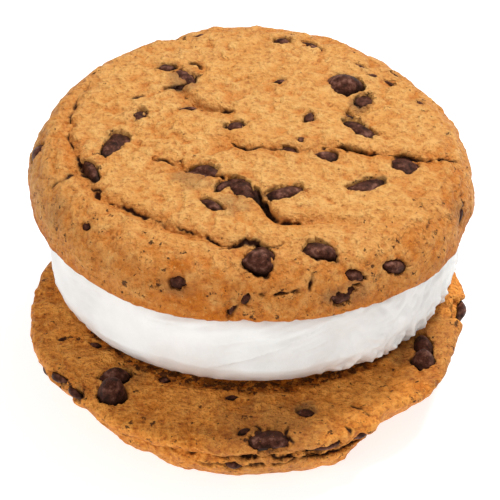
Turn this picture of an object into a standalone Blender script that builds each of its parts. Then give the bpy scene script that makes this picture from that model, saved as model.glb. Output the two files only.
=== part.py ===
"""A whoopie pie: two thick chocolate chip cookies with a deep layer of whipped cream between them.

The flat baked face of each cookie is towards the cream, so the upper cookie crowns upwards and
the lower one rests upside down on its crown. Metres, +Z up. The front is -Y, the side to which
the lower cookie has slid. The origin is on the ground, under the middle of the outline.
"""

import math
import random
from collections import namedtuple

import bmesh
import bpy
import numpy as np
from mathutils import Matrix, Vector, noise
from mathutils.bvhtree import BVHTree

# A cookie's section, measured from its flat baked face
COOKIE_RADIUS = 0.0396
FOOT_RISE = 0.0015
FOOT_RUN = 0.0025
SHOULDER_RISE = 0.0090
SHOULDER_RUN = 0.0062
CROWN_RISE = 0.0022
REST_CUT = 0.0008

# Unevenness of the side fades over the rim's depth, and that of the crown as it turns upright
RIM_DEPTH = 0.0110
CROWN_FACING = (0.1, 0.6)

# Where a cookie is less full, its shoulder runs further in, and turns from round towards straight
SLACK_RUN = 0.0065
SLACK_POWER = 0.85

# How the three layers sit on each other
GAP = 0.0003
TOP_CENTRE = (0.0, 0.0042)
BOTTOM_CENTRE = (-0.0005, -0.0040)
TOP_TILT = math.radians(1.2)

# The cream: its full round, the smaller round that it stands on, and its upper edge
CREAM_HEIGHT = 0.0198
CREAM_RADIUS = 0.0371
CREAM_CENTRE = (0.0004, 0.0042)
CREAM_FOOT_RADII = (0.0330, 0.0290)
CREAM_FOOT_CENTRE = (0.0003, 0.0050)
CREAM_FOOT_RISE = 0.0080
CREAM_FOOT_POWER = 1.3
CREAM_RIM_DEPTH = 0.0150
CREAM_EDGE_RUN = 0.0024
CREAM_EDGE_RISE = 0.0034

# Lumps are (height, size across)
SIDE_LUMPS = (0.0005, 0.009)
CROWN_LUMPS = (0.0006, 0.014)
CROWN_RIPPLES = (0.0002, 0.005)
CREAM_LUMPS = (0.0014, 0.013)

# How finely the turned forms are cut before they are thinned, and the triangles that are kept
TURNED_STEPS = 176
SECTION_STEP = 0.0009
FLAT_STEP = 0.0036
CREAM_STEPS = 120
TOP_TRIANGLES = 3300
BOTTOM_TRIANGLES = 2400
CREAM_TRIANGLES = 1500

# Chocolate chips: how far one stands out, at most and against half its thickness
CHIP_PROUD = 0.0010
CHIP_PROUD_SHARE = 0.5
CHIP_UNEVENNESS = 0.10

# Chips round the rims where none are given: sizes, spacing, and for each cookie the angles in
# degrees, the heights from the flat face, and how many
SPARE_CHIP_SIZES = (0.0036, 0.0062)
SPARE_CHIP_SPACING = 0.0085
TOP_SPARE_CHIPS = ((15, 200), (0.0035, 0.0085), 8)
BOTTOM_SPARE_CHIPS = ((8, 205), (0.0020, 0.0080), 11)

MERGE_DISTANCE = 1e-6
REST_SNAP = 0.00006

# Seeds of the uneven surfaces and of the scattered chips
TOP_SEED = 3
TOP_CHIP_SEED = 7
BOTTOM_SEED = 13
BOTTOM_CHIP_SEED = 17
CREAM_SEED = 21

# The rim's offset from a true round, in metres at angles in degrees, seen from above
TOP_RIM = (
    (-180, 0.0003), (-145, 0.0009), (-112, 0.0011), (-91, 0.0001), (-76, 0.0005), (-56, 0.0010),
    (-36, 0.0018), (-15, 0.0009), (0, 0.0003), (35, -0.0006), (52, -0.0001), (66, 0.0012),
    (82, 0.0007), (98, 0.0008), (120, 0.0001), (150, 0.0001),
)
BOTTOM_RIM = (
    (-180, -0.0004), (-163, -0.0002), (-143, -0.0006), (-118, 0.0001), (-90, 0.0003),
    (-60, 0.0004), (-44, -0.0010), (-34, 0.0000), (-10, -0.0011), (15, 0.0004), (50, -0.0003),
    (85, 0.0004), (125, -0.0004),
)
# How full the lower cookie's shoulder is, from 0 to 1, at angles in degrees
BOTTOM_FULLNESS = (
    (-180, 0.7), (-160, 0.5), (-143, 0.2), (-122, 0.6), (-106, 0.95), (-61, 0.95), (-53, 0.15),
    (-15, 0.1), (15, 0.6), (70, 0.8), (120, 0.6),
)
# Waves round a rim are (how many, height, where the first crest is)
CREAM_WAVES = ((2, 0.00030, 2.8), (3, 0.00025, 1.3), (7, 0.00018, 0.3), (11, 0.00012, 3.0))

# A crease is a line over the crown that fades out at both ends. The dough on its left stands
# higher, by the lip, which eases down over some crease widths.
Crease = namedtuple("Crease", "width depth lip line")
LIP_WIDTHS = 5
FADE_POWER = 0.4
# A pit is a round hollow in the crown.
Pit = namedtuple("Pit", "x y radius depth")
# A notch is a cleft in the rim at an angle, with its angular width.
Notch = namedtuple("Notch", "angle width depth")
# A chip shows a patch, length by width, at the point of the cookie nearest x, y, z. It turns
# from +X round the surface, in degrees.
Chip = namedtuple("Chip", "x y z length width turn")

LONG_GROOVE = Crease(0.0011, 0.0015, 0.0006, (
    (-0.0290, 0.0180), (-0.0325, 0.0090), (-0.0322, -0.0015), (-0.0273, -0.0155),
    (-0.0204, -0.0214), (-0.0095, -0.0281), (0.0003, -0.0312), (0.0095, -0.0295),
))
FRONT_FOLD = Crease(0.0009, 0.0020, 0.0004, (
    (0.0008, -0.0160), (0.0020, -0.0200), (0.0043, -0.0241), (0.0101, -0.0240),
    (0.0160, -0.0237), (0.0233, -0.0234),
))
RIGHT_CREASE = Crease(0.0008, 0.0011, 0.0004, (
    (0.0030, -0.0036), (0.0084, -0.0042), (0.0153, -0.0034), (0.0256, -0.0050),
    (0.0371, -0.0025),
))
LEFT_CREASE = Crease(0.0008, 0.0009, 0.0003, (
    (-0.0176, -0.0061), (-0.0106, -0.0097), (-0.0049, -0.0126), (-0.0010, -0.0140),
))
MIDDLE_CREASE = Crease(0.0008, 0.0007, 0.0003, (
    (-0.0083, -0.0014), (-0.0050, -0.0006), (-0.0010, -0.0038), (0.0043, -0.0034),
))
BACK_CREASE = Crease(0.0010, 0.0009, 0.0004, (
    (-0.0160, 0.0125), (-0.0130, 0.0082), (-0.0083, 0.0073), (-0.0050, 0.0068),
))
TOP_CREASES = (LONG_GROOVE, FRONT_FOLD, RIGHT_CREASE, LEFT_CREASE, MIDDLE_CREASE, BACK_CREASE)
TOP_PITS = (
    Pit(0.0192, 0.0100, 0.0019, 0.0022),
    Pit(-0.0310, -0.0085, 0.0016, 0.0010),
    Pit(-0.0285, -0.0236, 0.0011, 0.0008),
    Pit(-0.0022, -0.0330, 0.0015, 0.0010),
)
TOP_NOTCHES = (
    Notch(math.radians(-94), math.radians(1.8), 0.0010),
    Notch(math.radians(112), math.radians(2.2), 0.0009),
    Notch(math.radians(163), math.radians(2.5), 0.0006),
)
TOP_CHIPS = (
    Chip(-0.0150, 0.0213, 0.012, 0.0038, 0.0034, 10),
    Chip(-0.0118, 0.0190, 0.012, 0.0052, 0.0034, -55),
    Chip(0.0058, 0.0304, 0.012, 0.0026, 0.0022, 0),
    Chip(0.0176, 0.0158, 0.012, 0.0058, 0.0054, 15),
    Chip(0.0202, 0.0031, 0.012, 0.0072, 0.0028, -42),
    Chip(0.0104, 0.0059, 0.012, 0.0030, 0.0022, 75),
    Chip(-0.0029, 0.0028, 0.012, 0.0042, 0.0028, 25),
    Chip(-0.0207, 0.0065, 0.012, 0.0038, 0.0028, 35),
    Chip(-0.0245, -0.0023, 0.012, 0.0070, 0.0050, 45),
    Chip(-0.0292, -0.0098, 0.012, 0.0070, 0.0028, -65),
    Chip(-0.0086, -0.0102, 0.012, 0.0048, 0.0032, -10),
    Chip(-0.0012, -0.0152, 0.012, 0.0052, 0.0052, -30),
    Chip(-0.0050, -0.0158, 0.012, 0.0040, 0.0022, 40),
    Chip(-0.0069, -0.0203, 0.012, 0.0044, 0.0024, -45),
    Chip(0.0062, -0.0165, 0.012, 0.0068, 0.0030, 22),
    Chip(0.0207, -0.0138, 0.012, 0.0066, 0.0030, 18),
    Chip(0.0282, -0.0062, 0.012, 0.0048, 0.0038, -20),
    Chip(0.0135, -0.0045, 0.012, 0.0046, 0.0036, 0),
    Chip(0.0069, -0.0040, 0.012, 0.0038, 0.0022, -20),
    Chip(0.0003, -0.0346, 0.011, 0.0062, 0.0058, 0),
    Chip(0.0130, -0.0326, 0.011, 0.0062, 0.0044, -15),
    Chip(0.0187, -0.0350, 0.0075, 0.0040, 0.0026, -25),
    Chip(0.0262, -0.0295, 0.0054, 0.0046, 0.0034, -10),
    Chip(-0.0130, -0.0375, 0.0068, 0.0032, 0.0024, 10),
    Chip(0.0167, -0.0362, 0.0035, 0.0042, 0.0034, 20),
    Chip(0.0374, -0.0122, 0.0056, 0.0042, 0.0024, 80),
)

# The break round the front of the lower cookie's side, measured down from its flat face
SIDE_CREASE_HEIGHT = 0.0036
SIDE_CREASE_WIDTH = 0.0010
SIDE_CREASE_DEPTH = 0.0012
SIDE_CREASE_STEP = 0.0005
SIDE_CREASE_WAVES = ((5, 0.0006, 1.57), (11, 0.0004, 0.57))
SIDE_CREASE_ANGLES = (math.radians(-130), math.radians(-48))
SIDE_CREASE_FADE = math.radians(14)
BOTTOM_NOTCHES = (
    Notch(math.radians(-49), math.radians(3.0), 0.0012),
    Notch(math.radians(-60), math.radians(2.5), 0.0010),
    Notch(math.radians(-148), math.radians(2.5), 0.0008),
    Notch(math.radians(35), math.radians(3.0), 0.0010),
    Notch(math.radians(118), math.radians(2.5), 0.0009),
)
BOTTOM_CHIPS = (
    Chip(-0.0246, -0.0232, 0.0, 0.0058, 0.0058, 0),
    Chip(-0.0222, -0.0182, 0.0, 0.0040, 0.0026, 20),
    Chip(-0.0335, -0.0210, 0.0030, 0.0064, 0.0036, 60),
    Chip(0.0037, -0.0393, 0.0012, 0.0062, 0.0044, 5),
    Chip(0.0103, -0.0299, 0.0, 0.0030, 0.0026, 0),
    Chip(0.0319, -0.0108, 0.0, 0.0044, 0.0036, 40),
    Chip(0.0313, -0.0160, 0.0, 0.0046, 0.0034, 70),
    Chip(0.0392, -0.0030, 0.0030, 0.0056, 0.0030, 80),
    Chip(0.0140, -0.0369, 0.0036, 0.0066, 0.0026, 10),
    Chip(0.0204, -0.0338, 0.0050, 0.0036, 0.0028, 15),
    Chip(-0.0024, -0.0394, 0.0060, 0.0032, 0.0024, 0),
)

DOUGH = ("baked_dough", (0.60, 0.29, 0.085), 0.75)
BROWN_DOUGH = ("browned_dough", (0.50, 0.22, 0.060), 0.75)
CREAM = ("whipped_cream", (0.90, 0.89, 0.87), 0.45)


def clear_scene():
    for obj in list(bpy.data.objects):
        bpy.data.objects.remove(obj)


def material(name, colour, roughness):
    made = bpy.data.materials.new(name)
    made.use_nodes = True
    shader = made.node_tree.nodes["Principled BSDF"]
    shader.inputs["Base Color"].default_value = (*colour, 1.0)
    shader.inputs["Roughness"].default_value = roughness
    shader.inputs["Metallic"].default_value = 0.0
    return made


def arc(centre, radii, start, end, step):
    """Points of an elliptical arc in a section, about a step apart, without its first point."""
    count = max(3, round(abs(end - start) * max(radii) / step))
    angles = [start + (end - start) * i / count for i in range(1, count + 1)]
    return [
        (centre[0] + radii[0] * math.cos(a), centre[1] + radii[1] * math.sin(a)) for a in angles
    ]


def run(start, end, step):
    """Points along a straight stretch of a section, about a step apart, with both ends."""
    count = max(1, round(math.dist(start, end) / step))
    return [
        (
            start[0] + (end[0] - start[0]) * i / count,
            start[1] + (end[1] - start[1]) * i / count,
        )
        for i in range(count + 1)
    ]


def cookie_section():
    """A level crown's middle, over the shoulder, round the foot and to the flat face's middle."""
    shoulder = COOKIE_RADIUS - SHOULDER_RUN
    level = FOOT_RISE + SHOULDER_RISE
    quarter = math.pi / 2
    section = run((0.0, level), (shoulder, level), SECTION_STEP)
    section += arc((shoulder, FOOT_RISE), (SHOULDER_RUN, SHOULDER_RISE), quarter, 0, SECTION_STEP)
    foot = COOKIE_RADIUS - FOOT_RUN
    section += arc((foot, FOOT_RISE), (FOOT_RUN, FOOT_RISE), 0, -quarter, SECTION_STEP)
    return section + run((foot, 0.0), (0.0, 0.0), FLAT_STEP)[1:]


def cream_section():
    """A round-edged cylinder, from the middle of its top to the middle of its base."""
    edge = CREAM_RADIUS - CREAM_EDGE_RUN
    level = CREAM_HEIGHT - CREAM_EDGE_RISE
    quarter = math.pi / 2
    section = run((0.0, CREAM_HEIGHT), (edge, CREAM_HEIGHT), FLAT_STEP)
    section += arc((edge, level), (CREAM_EDGE_RUN, CREAM_EDGE_RISE), quarter, 0, SECTION_STEP)
    section += run((CREAM_RADIUS, level), (CREAM_RADIUS, 0.0), SECTION_STEP)[1:]
    return section + run((CREAM_RADIUS, 0.0), (0.0, 0.0), FLAT_STEP)[1:]


def spun(section, steps):
    """A closed form turned from its section, both ends of which are on the axis."""
    form = bmesh.new()
    verts = [form.verts.new((r, 0.0, z)) for r, z in section]
    edges = [form.edges.new(pair) for pair in zip(verts, verts[1:])]
    bmesh.ops.spin(
        form,
        geom=verts + edges,
        cent=(0, 0, 0),
        axis=(0, 0, 1),
        angle=2 * math.pi,
        steps=steps,
        use_merge=True,
    )
    bmesh.ops.remove_doubles(form, verts=form.verts, dist=MERGE_DISTANCE)
    bmesh.ops.recalc_face_normals(form, faces=form.faces)
    form.normal_update()
    return form


def smooth_steps(low, high, value):
    share = np.clip((value - low) / (high - low), 0.0, 1.0)
    return share * share * (3 - 2 * share)


def rounded_line(points, pieces=5):
    """A smooth curve through the points, as a chain of short pieces."""
    ends = [2 * Vector(points[0]) - Vector(points[1]), 2 * Vector(points[-1]) - Vector(points[-2])]
    line = [ends[0], *map(Vector, points), ends[1]]
    chain = [line[1]]
    for before, start, end, after in zip(line, line[1:], line[2:], line[3:]):
        for i in range(1, pieces + 1):
            t = i / pieces
            chain.append(0.5 * (
                2 * start
                + (end - before) * t
                + (2 * before - 5 * start + 4 * end - after) * t ** 2
                + (3 * start - before - 3 * end + after) * t ** 3
            ))
    return chain


def line_field(points, x, y):
    """Signed distance of each point from a line, positive on its left, and the share along it."""
    chain = rounded_line(points)
    nearest = np.full(x.shape, np.inf)
    signed = np.zeros(x.shape)
    along = np.zeros(x.shape)
    for i, (start, end) in enumerate(zip(chain, chain[1:])):
        way = end - start
        share = ((x - start.x) * way.x + (y - start.y) * way.y) / way.length_squared
        share = np.clip(share, 0.0, 1.0)
        dx = x - start.x - share * way.x
        dy = y - start.y - share * way.y
        distance = np.hypot(dx, dy)
        closer = distance < nearest
        side = np.where(way.x * dy - way.y * dx >= 0, 1.0, -1.0)
        nearest = np.where(closer, distance, nearest)
        signed = np.where(closer, side * distance, signed)
        along = np.where(closer, (i + share) / (len(chain) - 1), along)
    return signed, along


def crown_relief(x, y, creases, pits):
    """How far the crown rises or sinks at each point: folds with a high side, and pits."""
    relief = np.zeros(x.shape)
    for crease in creases:
        signed, along = line_field(crease.line, x, y)
        fade = np.sin(np.pi * np.clip(along, 0.0, 1.0)) ** FADE_POWER
        high_side = 0.5 * (1 + np.tanh(signed / crease.width))
        relief -= crease.depth * fade * np.exp(-((signed / crease.width) ** 2))
        reach = LIP_WIDTHS * crease.width
        relief += crease.lip * fade * high_side * np.exp(-np.abs(signed) / reach)
    for pit in pits:
        away = np.hypot(x - pit.x, y - pit.y)
        relief -= pit.depth * np.exp(-((away / pit.radius) ** 2))
    return relief


def lumps(points, height_and_size, seed):
    """Smooth unevenness, as lumps of about the given height, up or down, and size."""
    height, size = height_and_size
    shift = Vector((seed, 2 * seed, 3 * seed))
    return height * np.array([noise.noise(Vector(p) / size + shift) for p in points])


def waves_at(angle, waves):
    return sum(height * np.cos(count * angle - crest) for count, height, crest in waves)


def round_the_rim(angle, stations):
    """Eases from each station's value to the next, all the way round."""
    degrees = np.degrees(angle)
    value = np.zeros(angle.shape)
    for (start, low), (end, high) in zip(stations, (*stations[1:], (180, stations[0][1]))):
        here = (degrees >= start) & (degrees <= end)
        value[here] = low + (high - low) * smooth_steps(start, end, degrees[here])
    return value


def filled_out(radius, height, fullness):
    """A level section crowned, with its shoulder drawn in where the cookie is less full."""
    shoulder = COOKIE_RADIUS - SHOULDER_RUN
    run_in = SHOULDER_RUN + SLACK_RUN * (1 - fullness)
    power = 2 / (2 - SLACK_POWER * (1 - fullness))
    turn = np.arctan2((height - FOOT_RISE) / SHOULDER_RISE, (radius - shoulder) / SHOULDER_RUN)
    turn = np.clip(turn, 0.0, math.pi / 2)
    slope = COOKIE_RADIUS - run_in + run_in * np.cos(turn) ** power
    above = height >= FOOT_RISE - MERGE_DISTANCE
    inner = above & (radius <= shoulder)
    new_height = np.where(above, FOOT_RISE + SHOULDER_RISE * np.sin(turn) ** power, height)
    new_height = np.where(inner, FOOT_RISE + SHOULDER_RISE, new_height)
    new_radius = np.where(above, slope, radius)
    new_radius = np.where(inner, radius * (COOKIE_RADIUS - run_in) / shoulder, new_radius)
    crown = CROWN_RISE * (1 - (new_radius / COOKIE_RADIUS) ** 2)
    return new_radius, new_height + np.where(above, crown, 0.0)


def notches_at(angle, notches):
    depth = np.zeros(angle.shape)
    for notch in notches:
        off = (angle - notch.angle + np.pi) % (2 * np.pi) - np.pi
        depth += notch.depth * np.exp(-((off / notch.width) ** 2))
    return depth


def positions(form):
    return np.array([v.co for v in form.verts])


def move_to(form, points):
    for vert, point in zip(form.verts, points):
        vert.co = point


def uneven_cookie(rim_stations, full_stations, notches, creases, pits, seed):
    """A cookie with its crown up and its flat face at zero, before its chips."""
    form = spun(cookie_section(), TURNED_STEPS)
    base = positions(form)
    angle = np.arctan2(base[:, 1], base[:, 0])
    radius = np.hypot(base[:, 0], base[:, 1])
    fullness = round_the_rim(angle, full_stations)
    radius, base[:, 2] = filled_out(radius, base[:, 2], fullness)
    base[:, 0] = radius * np.cos(angle)
    base[:, 1] = radius * np.sin(angle)
    move_to(form, base)
    form.normal_update()
    facing = np.array([v.normal for v in form.verts])
    rim = smooth_steps(COOKIE_RADIUS - 2 * RIM_DEPTH, COOKIE_RADIUS, radius)
    rise = smooth_steps(0.0, FOOT_RISE, base[:, 2])
    crown = smooth_steps(*CROWN_FACING, facing[:, 2])
    side = 1 - np.abs(facing[:, 2])
    outward = round_the_rim(angle, rim_stations) * rim
    outward -= notches_at(angle, notches) * rim * rise
    outward += lumps(base, SIDE_LUMPS, seed) * side * rise
    upward = crown_relief(base[:, 0], base[:, 1], creases, pits) * crown
    upward += (lumps(base, CROWN_LUMPS, seed + 5) + lumps(base, CROWN_RIPPLES, seed + 9)) * crown
    base[:, 0] += outward * np.cos(angle)
    base[:, 1] += outward * np.sin(angle)
    base[:, 2] += upward
    move_to(form, base)
    return form


def side_crease(form):
    """The break in the lower cookie's side, where its crown meets its rim."""
    points = positions(form)
    angle = np.arctan2(points[:, 1], points[:, 0])
    radius = np.hypot(points[:, 0], points[:, 1])
    first, last = SIDE_CREASE_ANGLES
    reach = smooth_steps(first, first + SIDE_CREASE_FADE, angle)
    reach *= 1 - smooth_steps(last - SIDE_CREASE_FADE, last, angle)
    line = SIDE_CREASE_HEIGHT + waves_at(angle, SIDE_CREASE_WAVES)
    below = (points[:, 2] - line) / SIDE_CREASE_WIDTH
    rim = smooth_steps(COOKIE_RADIUS - RIM_DEPTH, COOKIE_RADIUS - RIM_DEPTH / 2, radius)
    inward = SIDE_CREASE_DEPTH * np.exp(-(below ** 2)) + SIDE_CREASE_STEP * (below > 0)
    points[:, 0] -= inward * reach * rim * np.cos(angle)
    points[:, 1] -= inward * reach * rim * np.sin(angle)
    move_to(form, points)


def turned_over(form):
    """Crown down, seen from above as before, and cut level where it rests, at zero."""
    points = positions(form)
    height = FOOT_RISE + SHOULDER_RISE + CROWN_RISE - REST_CUT
    points[:, 2] = np.maximum(height - points[:, 2], 0.0)
    move_to(form, points)
    bmesh.ops.reverse_faces(form, faces=form.faces)
    return height


def cream_form():
    """A thick round of cream that draws in, above its base, to the smaller round it stands on."""
    form = spun(cream_section(), CREAM_STEPS)
    base = positions(form)
    angle = np.arctan2(base[:, 1], base[:, 0])
    radius = np.hypot(base[:, 0], base[:, 1])
    rim = smooth_steps(CREAM_RADIUS - CREAM_RIM_DEPTH, CREAM_RADIUS, radius)
    free = rim * smooth_steps(0.0, CREAM_FOOT_RISE, base[:, 2])
    swell = waves_at(angle, CREAM_WAVES)
    swell += lumps(base, CREAM_LUMPS, CREAM_SEED)
    wide = radius + swell * free
    full_x = CREAM_CENTRE[0] + wide * np.cos(angle)
    full_y = CREAM_CENTRE[1] + wide * np.sin(angle)
    foot_x = CREAM_FOOT_CENTRE[0] + CREAM_FOOT_RADII[0] * radius / CREAM_RADIUS * np.cos(angle)
    foot_y = CREAM_FOOT_CENTRE[1] + CREAM_FOOT_RADII[1] * radius / CREAM_RADIUS * np.sin(angle)
    climb = np.clip(base[:, 2] / CREAM_FOOT_RISE, 0.0, 1.0)
    out = (1 - (1 - climb) ** CREAM_FOOT_POWER) ** (1 / CREAM_FOOT_POWER)
    base[:, 0] = foot_x + (full_x - foot_x) * out
    base[:, 1] = foot_y + (full_y - foot_y) * out
    base[:, 2] -= math.tan(TOP_TILT) * base[:, 0] * base[:, 2] / CREAM_HEIGHT
    move_to(form, base)
    return form


def thinned(name, form, triangles, finish):
    """An object of the form with its triangles thinned to about the given number."""
    mesh = bpy.data.meshes.new(name)
    bmesh.ops.triangulate(form, faces=form.faces)
    form.to_mesh(mesh)
    form.free()
    obj = bpy.data.objects.new(name, mesh)
    bpy.context.scene.collection.objects.link(obj)
    obj.data.materials.append(material(*finish))
    thin = obj.modifiers.new("Thin", "DECIMATE")
    thin.ratio = triangles / len(mesh.polygons)
    apply_modifier(obj, thin)
    return obj


def apply_modifier(obj, modifier):
    bpy.context.view_layer.objects.active = obj
    bpy.ops.object.modifier_apply(modifier=modifier.name)


def chip_mesh(chip, surface, draw):
    """An uneven lump of chocolate, sunk in the dough so that its back stands a little proud."""
    point, normal, _, _ = surface.find_nearest((chip.x, chip.y, chip.z))
    across = Vector((1, 0, 0)) - normal * normal.x
    across.normalize()
    frame = Matrix((across, normal.cross(across), normal)).transposed().to_4x4()
    deep = chip.width / 2
    proud = min(CHIP_PROUD, CHIP_PROUD_SHARE * deep)
    shown = math.sqrt(1 - (1 - proud / deep) ** 2)
    half = (chip.length / 2 / shown, chip.width / 2 / shown, deep, 1.0)
    form = bmesh.new()
    bmesh.ops.create_icosphere(form, subdivisions=2, radius=1.0)
    for vert in form.verts:
        vert.co *= 1 + draw.uniform(-CHIP_UNEVENNESS, CHIP_UNEVENNESS)
    place = Matrix.Translation(point + normal * (proud - deep))
    place @= frame @ Matrix.Rotation(math.radians(chip.turn), 4, "Z") @ Matrix.Diagonal(half)
    bmesh.ops.transform(form, matrix=place, verts=form.verts)
    mesh = bpy.data.meshes.new("chip")
    form.to_mesh(mesh)
    form.free()
    return mesh


def add_chips(cookie, chips, seed):
    """Joins the chips to the cookie with one union, and removes the loose ones."""
    draw = random.Random(seed)
    surface = BVHTree.FromObject(cookie, bpy.context.evaluated_depsgraph_get())
    loose = bpy.data.collections.new("loose_chips")
    bpy.context.scene.collection.children.link(loose)
    for chip in chips:
        loose.objects.link(bpy.data.objects.new("loose_chip", chip_mesh(chip, surface, draw)))
    union = cookie.modifiers.new("Chips", "BOOLEAN")
    union.operation = "UNION"
    union.operand_type = "COLLECTION"
    union.collection = loose
    union.solver = "EXACT"
    apply_modifier(cookie, union)
    for obj in list(loose.objects):
        bpy.data.objects.remove(obj)
    bpy.data.collections.remove(loose)


def spare_chips(known, angles, heights, count, seed):
    """Chips round the rim where the shown ones leave off, drawn apart from each other."""
    draw = random.Random(seed)
    found = []
    for _ in range(60 * count):
        if len(found) == count:
            break
        angle = math.radians(draw.uniform(*angles))
        place = Vector((
            COOKIE_RADIUS * math.cos(angle),
            COOKIE_RADIUS * math.sin(angle),
            draw.uniform(*heights),
        ))
        length = draw.uniform(*SPARE_CHIP_SIZES)
        width = length * draw.uniform(0.5, 0.9)
        near = [c for c in (*known, *found) if (Vector(c[:3]) - place).length < SPARE_CHIP_SPACING]
        if not near:
            found.append(Chip(*place, length, width, draw.uniform(-90, 90)))
    return tuple(found)


def make_top_cookie(base):
    form = uneven_cookie(TOP_RIM, ((-180, 1.0),), TOP_NOTCHES, TOP_CREASES, TOP_PITS, TOP_SEED)
    cookie = thinned("top_cookie", form, TOP_TRIANGLES, DOUGH)
    spare = spare_chips(TOP_CHIPS, *TOP_SPARE_CHIPS, TOP_CHIP_SEED)
    add_chips(cookie, TOP_CHIPS + spare, TOP_CHIP_SEED)
    cookie.location = (*TOP_CENTRE, base)
    cookie.rotation_euler.y = TOP_TILT


def make_bottom_cookie():
    """The lower cookie. Its chips are given from its flat face down, and it returns its height."""
    form = uneven_cookie(BOTTOM_RIM, BOTTOM_FULLNESS, BOTTOM_NOTCHES, (), (), BOTTOM_SEED)
    side_crease(form)
    height = turned_over(form)
    cookie = thinned("bottom_cookie", form, BOTTOM_TRIANGLES, BROWN_DOUGH)
    for vert in cookie.data.vertices:
        if vert.co.z < REST_SNAP:
            vert.co.z = 0.0
    spare = spare_chips(BOTTOM_CHIPS, *BOTTOM_SPARE_CHIPS, BOTTOM_CHIP_SEED)
    chips = [chip._replace(z=height - chip.z) for chip in BOTTOM_CHIPS + spare]
    add_chips(cookie, chips, BOTTOM_CHIP_SEED)
    cookie.location = (*BOTTOM_CENTRE, 0.0)
    return height


def main():
    clear_scene()
    level = make_bottom_cookie() + GAP
    cream = thinned("cream_filling", cream_form(), CREAM_TRIANGLES, CREAM)
    cream.location.z = level
    make_top_cookie(level + CREAM_HEIGHT + GAP)
    for obj in bpy.context.scene.objects:
        obj.data.shade_smooth()


main()
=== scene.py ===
"""The whoopie pie as photographed: two chocolate chip cookies with whipped cream between them.

The cookies and the cream are modelled again over the same sizes as the solids, with the cracks,
crumb, chips and knife smears that the solids leave out. Metres, +Z up, the front is -Y.
"""

import math
import random
from collections import namedtuple

import bmesh
import bpy
import numpy as np
from mathutils import Matrix, Vector, noise
from mathutils.bvhtree import BVHTree


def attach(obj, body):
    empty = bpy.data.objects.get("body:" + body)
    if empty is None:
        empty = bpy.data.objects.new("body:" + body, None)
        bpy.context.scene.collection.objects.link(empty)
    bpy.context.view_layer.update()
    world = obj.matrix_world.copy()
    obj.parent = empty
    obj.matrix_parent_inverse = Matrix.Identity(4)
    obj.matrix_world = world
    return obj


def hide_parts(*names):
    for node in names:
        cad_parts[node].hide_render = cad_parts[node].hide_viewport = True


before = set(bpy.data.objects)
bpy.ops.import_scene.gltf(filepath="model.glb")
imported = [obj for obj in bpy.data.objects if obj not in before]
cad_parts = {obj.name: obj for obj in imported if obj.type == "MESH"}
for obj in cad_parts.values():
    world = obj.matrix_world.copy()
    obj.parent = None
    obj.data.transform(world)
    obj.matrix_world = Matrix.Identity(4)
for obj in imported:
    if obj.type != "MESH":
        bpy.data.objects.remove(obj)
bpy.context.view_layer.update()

MM = 0.001

# A cookie's section, measured from its flat baked face
COOKIE_RADIUS = 0.0396
FOOT_RISE = 0.0015
FOOT_RUN = 0.0025
SHOULDER_RISE = 0.0090
SHOULDER_RUN = 0.0062
CROWN_RISE = 0.0022
REST_CUT = 0.0008
RIM_DEPTH = 0.0110
CROWN_FACING = (0.1, 0.6)

# Where a cookie is less full, its shoulder runs further in, and turns from round towards straight
SLACK_RUN = 0.0065
SLACK_POWER = 0.85

# How the three layers sit on each other
GAP = 0.0003
TOP_CENTRE = (0.0, 0.0042)
BOTTOM_CENTRE = (-0.0005, -0.0040)
TOP_TILT = math.radians(1.2)
COOKIE_HEIGHT = FOOT_RISE + SHOULDER_RISE + CROWN_RISE - REST_CUT

# The cream: its full round, the smaller round that it stands on, and its upper edge
CREAM_HEIGHT = 0.0198
CREAM_RADIUS = 0.0371
CREAM_CENTRE = (0.0004, 0.0042)
CREAM_FOOT_RADII = (0.0330, 0.0290)
CREAM_FOOT_CENTRE = (0.0003, 0.0050)
CREAM_FOOT_RISE = 0.0080
CREAM_FOOT_POWER = 1.3
CREAM_RIM_DEPTH = 0.0150
CREAM_EDGE_RUN = 0.0024
CREAM_EDGE_RISE = 0.0034
CREAM_TOUCH = 0.00025

# Lumps are (height, size across)
SIDE_LUMPS = (0.0005, 0.009)
CROWN_LUMPS = (0.0006, 0.014)
CROWN_RIPPLES = (0.0002, 0.005)
CREAM_LUMPS = (0.0014, 0.013)

TOP_SEED = 3
BOTTOM_SEED = 13
CREAM_SEED = 21
CREAM_FINE_SEED = 70
TOP_LUMP_SEED = 7
BOTTOM_LUMP_SEED = 17
TOP_BROWN_SEED = 51
BOTTOM_BROWN_SEED = 61
SHADE_SEED = 63

# Lengths under this count as none
TINY = 1e-6

# The rim's offset from a true round, in metres at angles in degrees, seen from above
TOP_RIM = (
    (-180, 0.0003), (-145, 0.0009), (-112, 0.0011), (-91, 0.0001), (-76, 0.0005), (-56, 0.0010),
    (-36, 0.0018), (-15, 0.0009), (0, 0.0003), (35, -0.0006), (52, -0.0001), (66, 0.0012),
    (82, 0.0007), (98, 0.0008), (120, 0.0001), (150, 0.0001),
)
BOTTOM_RIM = (
    (-180, -0.0004), (-163, -0.0002), (-143, -0.0006), (-118, 0.0001), (-90, 0.0003),
    (-60, 0.0004), (-44, -0.0010), (-34, 0.0000), (-10, -0.0011), (15, 0.0004), (50, -0.0003),
    (85, 0.0004), (125, -0.0004),
)
BOTTOM_FULLNESS = (
    (-180, 0.7), (-160, 0.5), (-143, 0.2), (-122, 0.6), (-106, 0.95), (-61, 0.95), (-53, 0.15),
    (-15, 0.1), (15, 0.6), (70, 0.8), (120, 0.6),
)
CREAM_WAVES = ((2, 0.00030, 2.8), (3, 0.00025, 1.3), (7, 0.00018, 0.3), (11, 0.00012, 3.0))

# Details and their lines are listed in mm and degrees. These values are lengths and angles.
LENGTHS = ("x", "y", "z", "length", "width", "proud", "radius", "depth", "lip", "start", "end")
ANGLES = ("angle", "spread", "first", "last")

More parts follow.
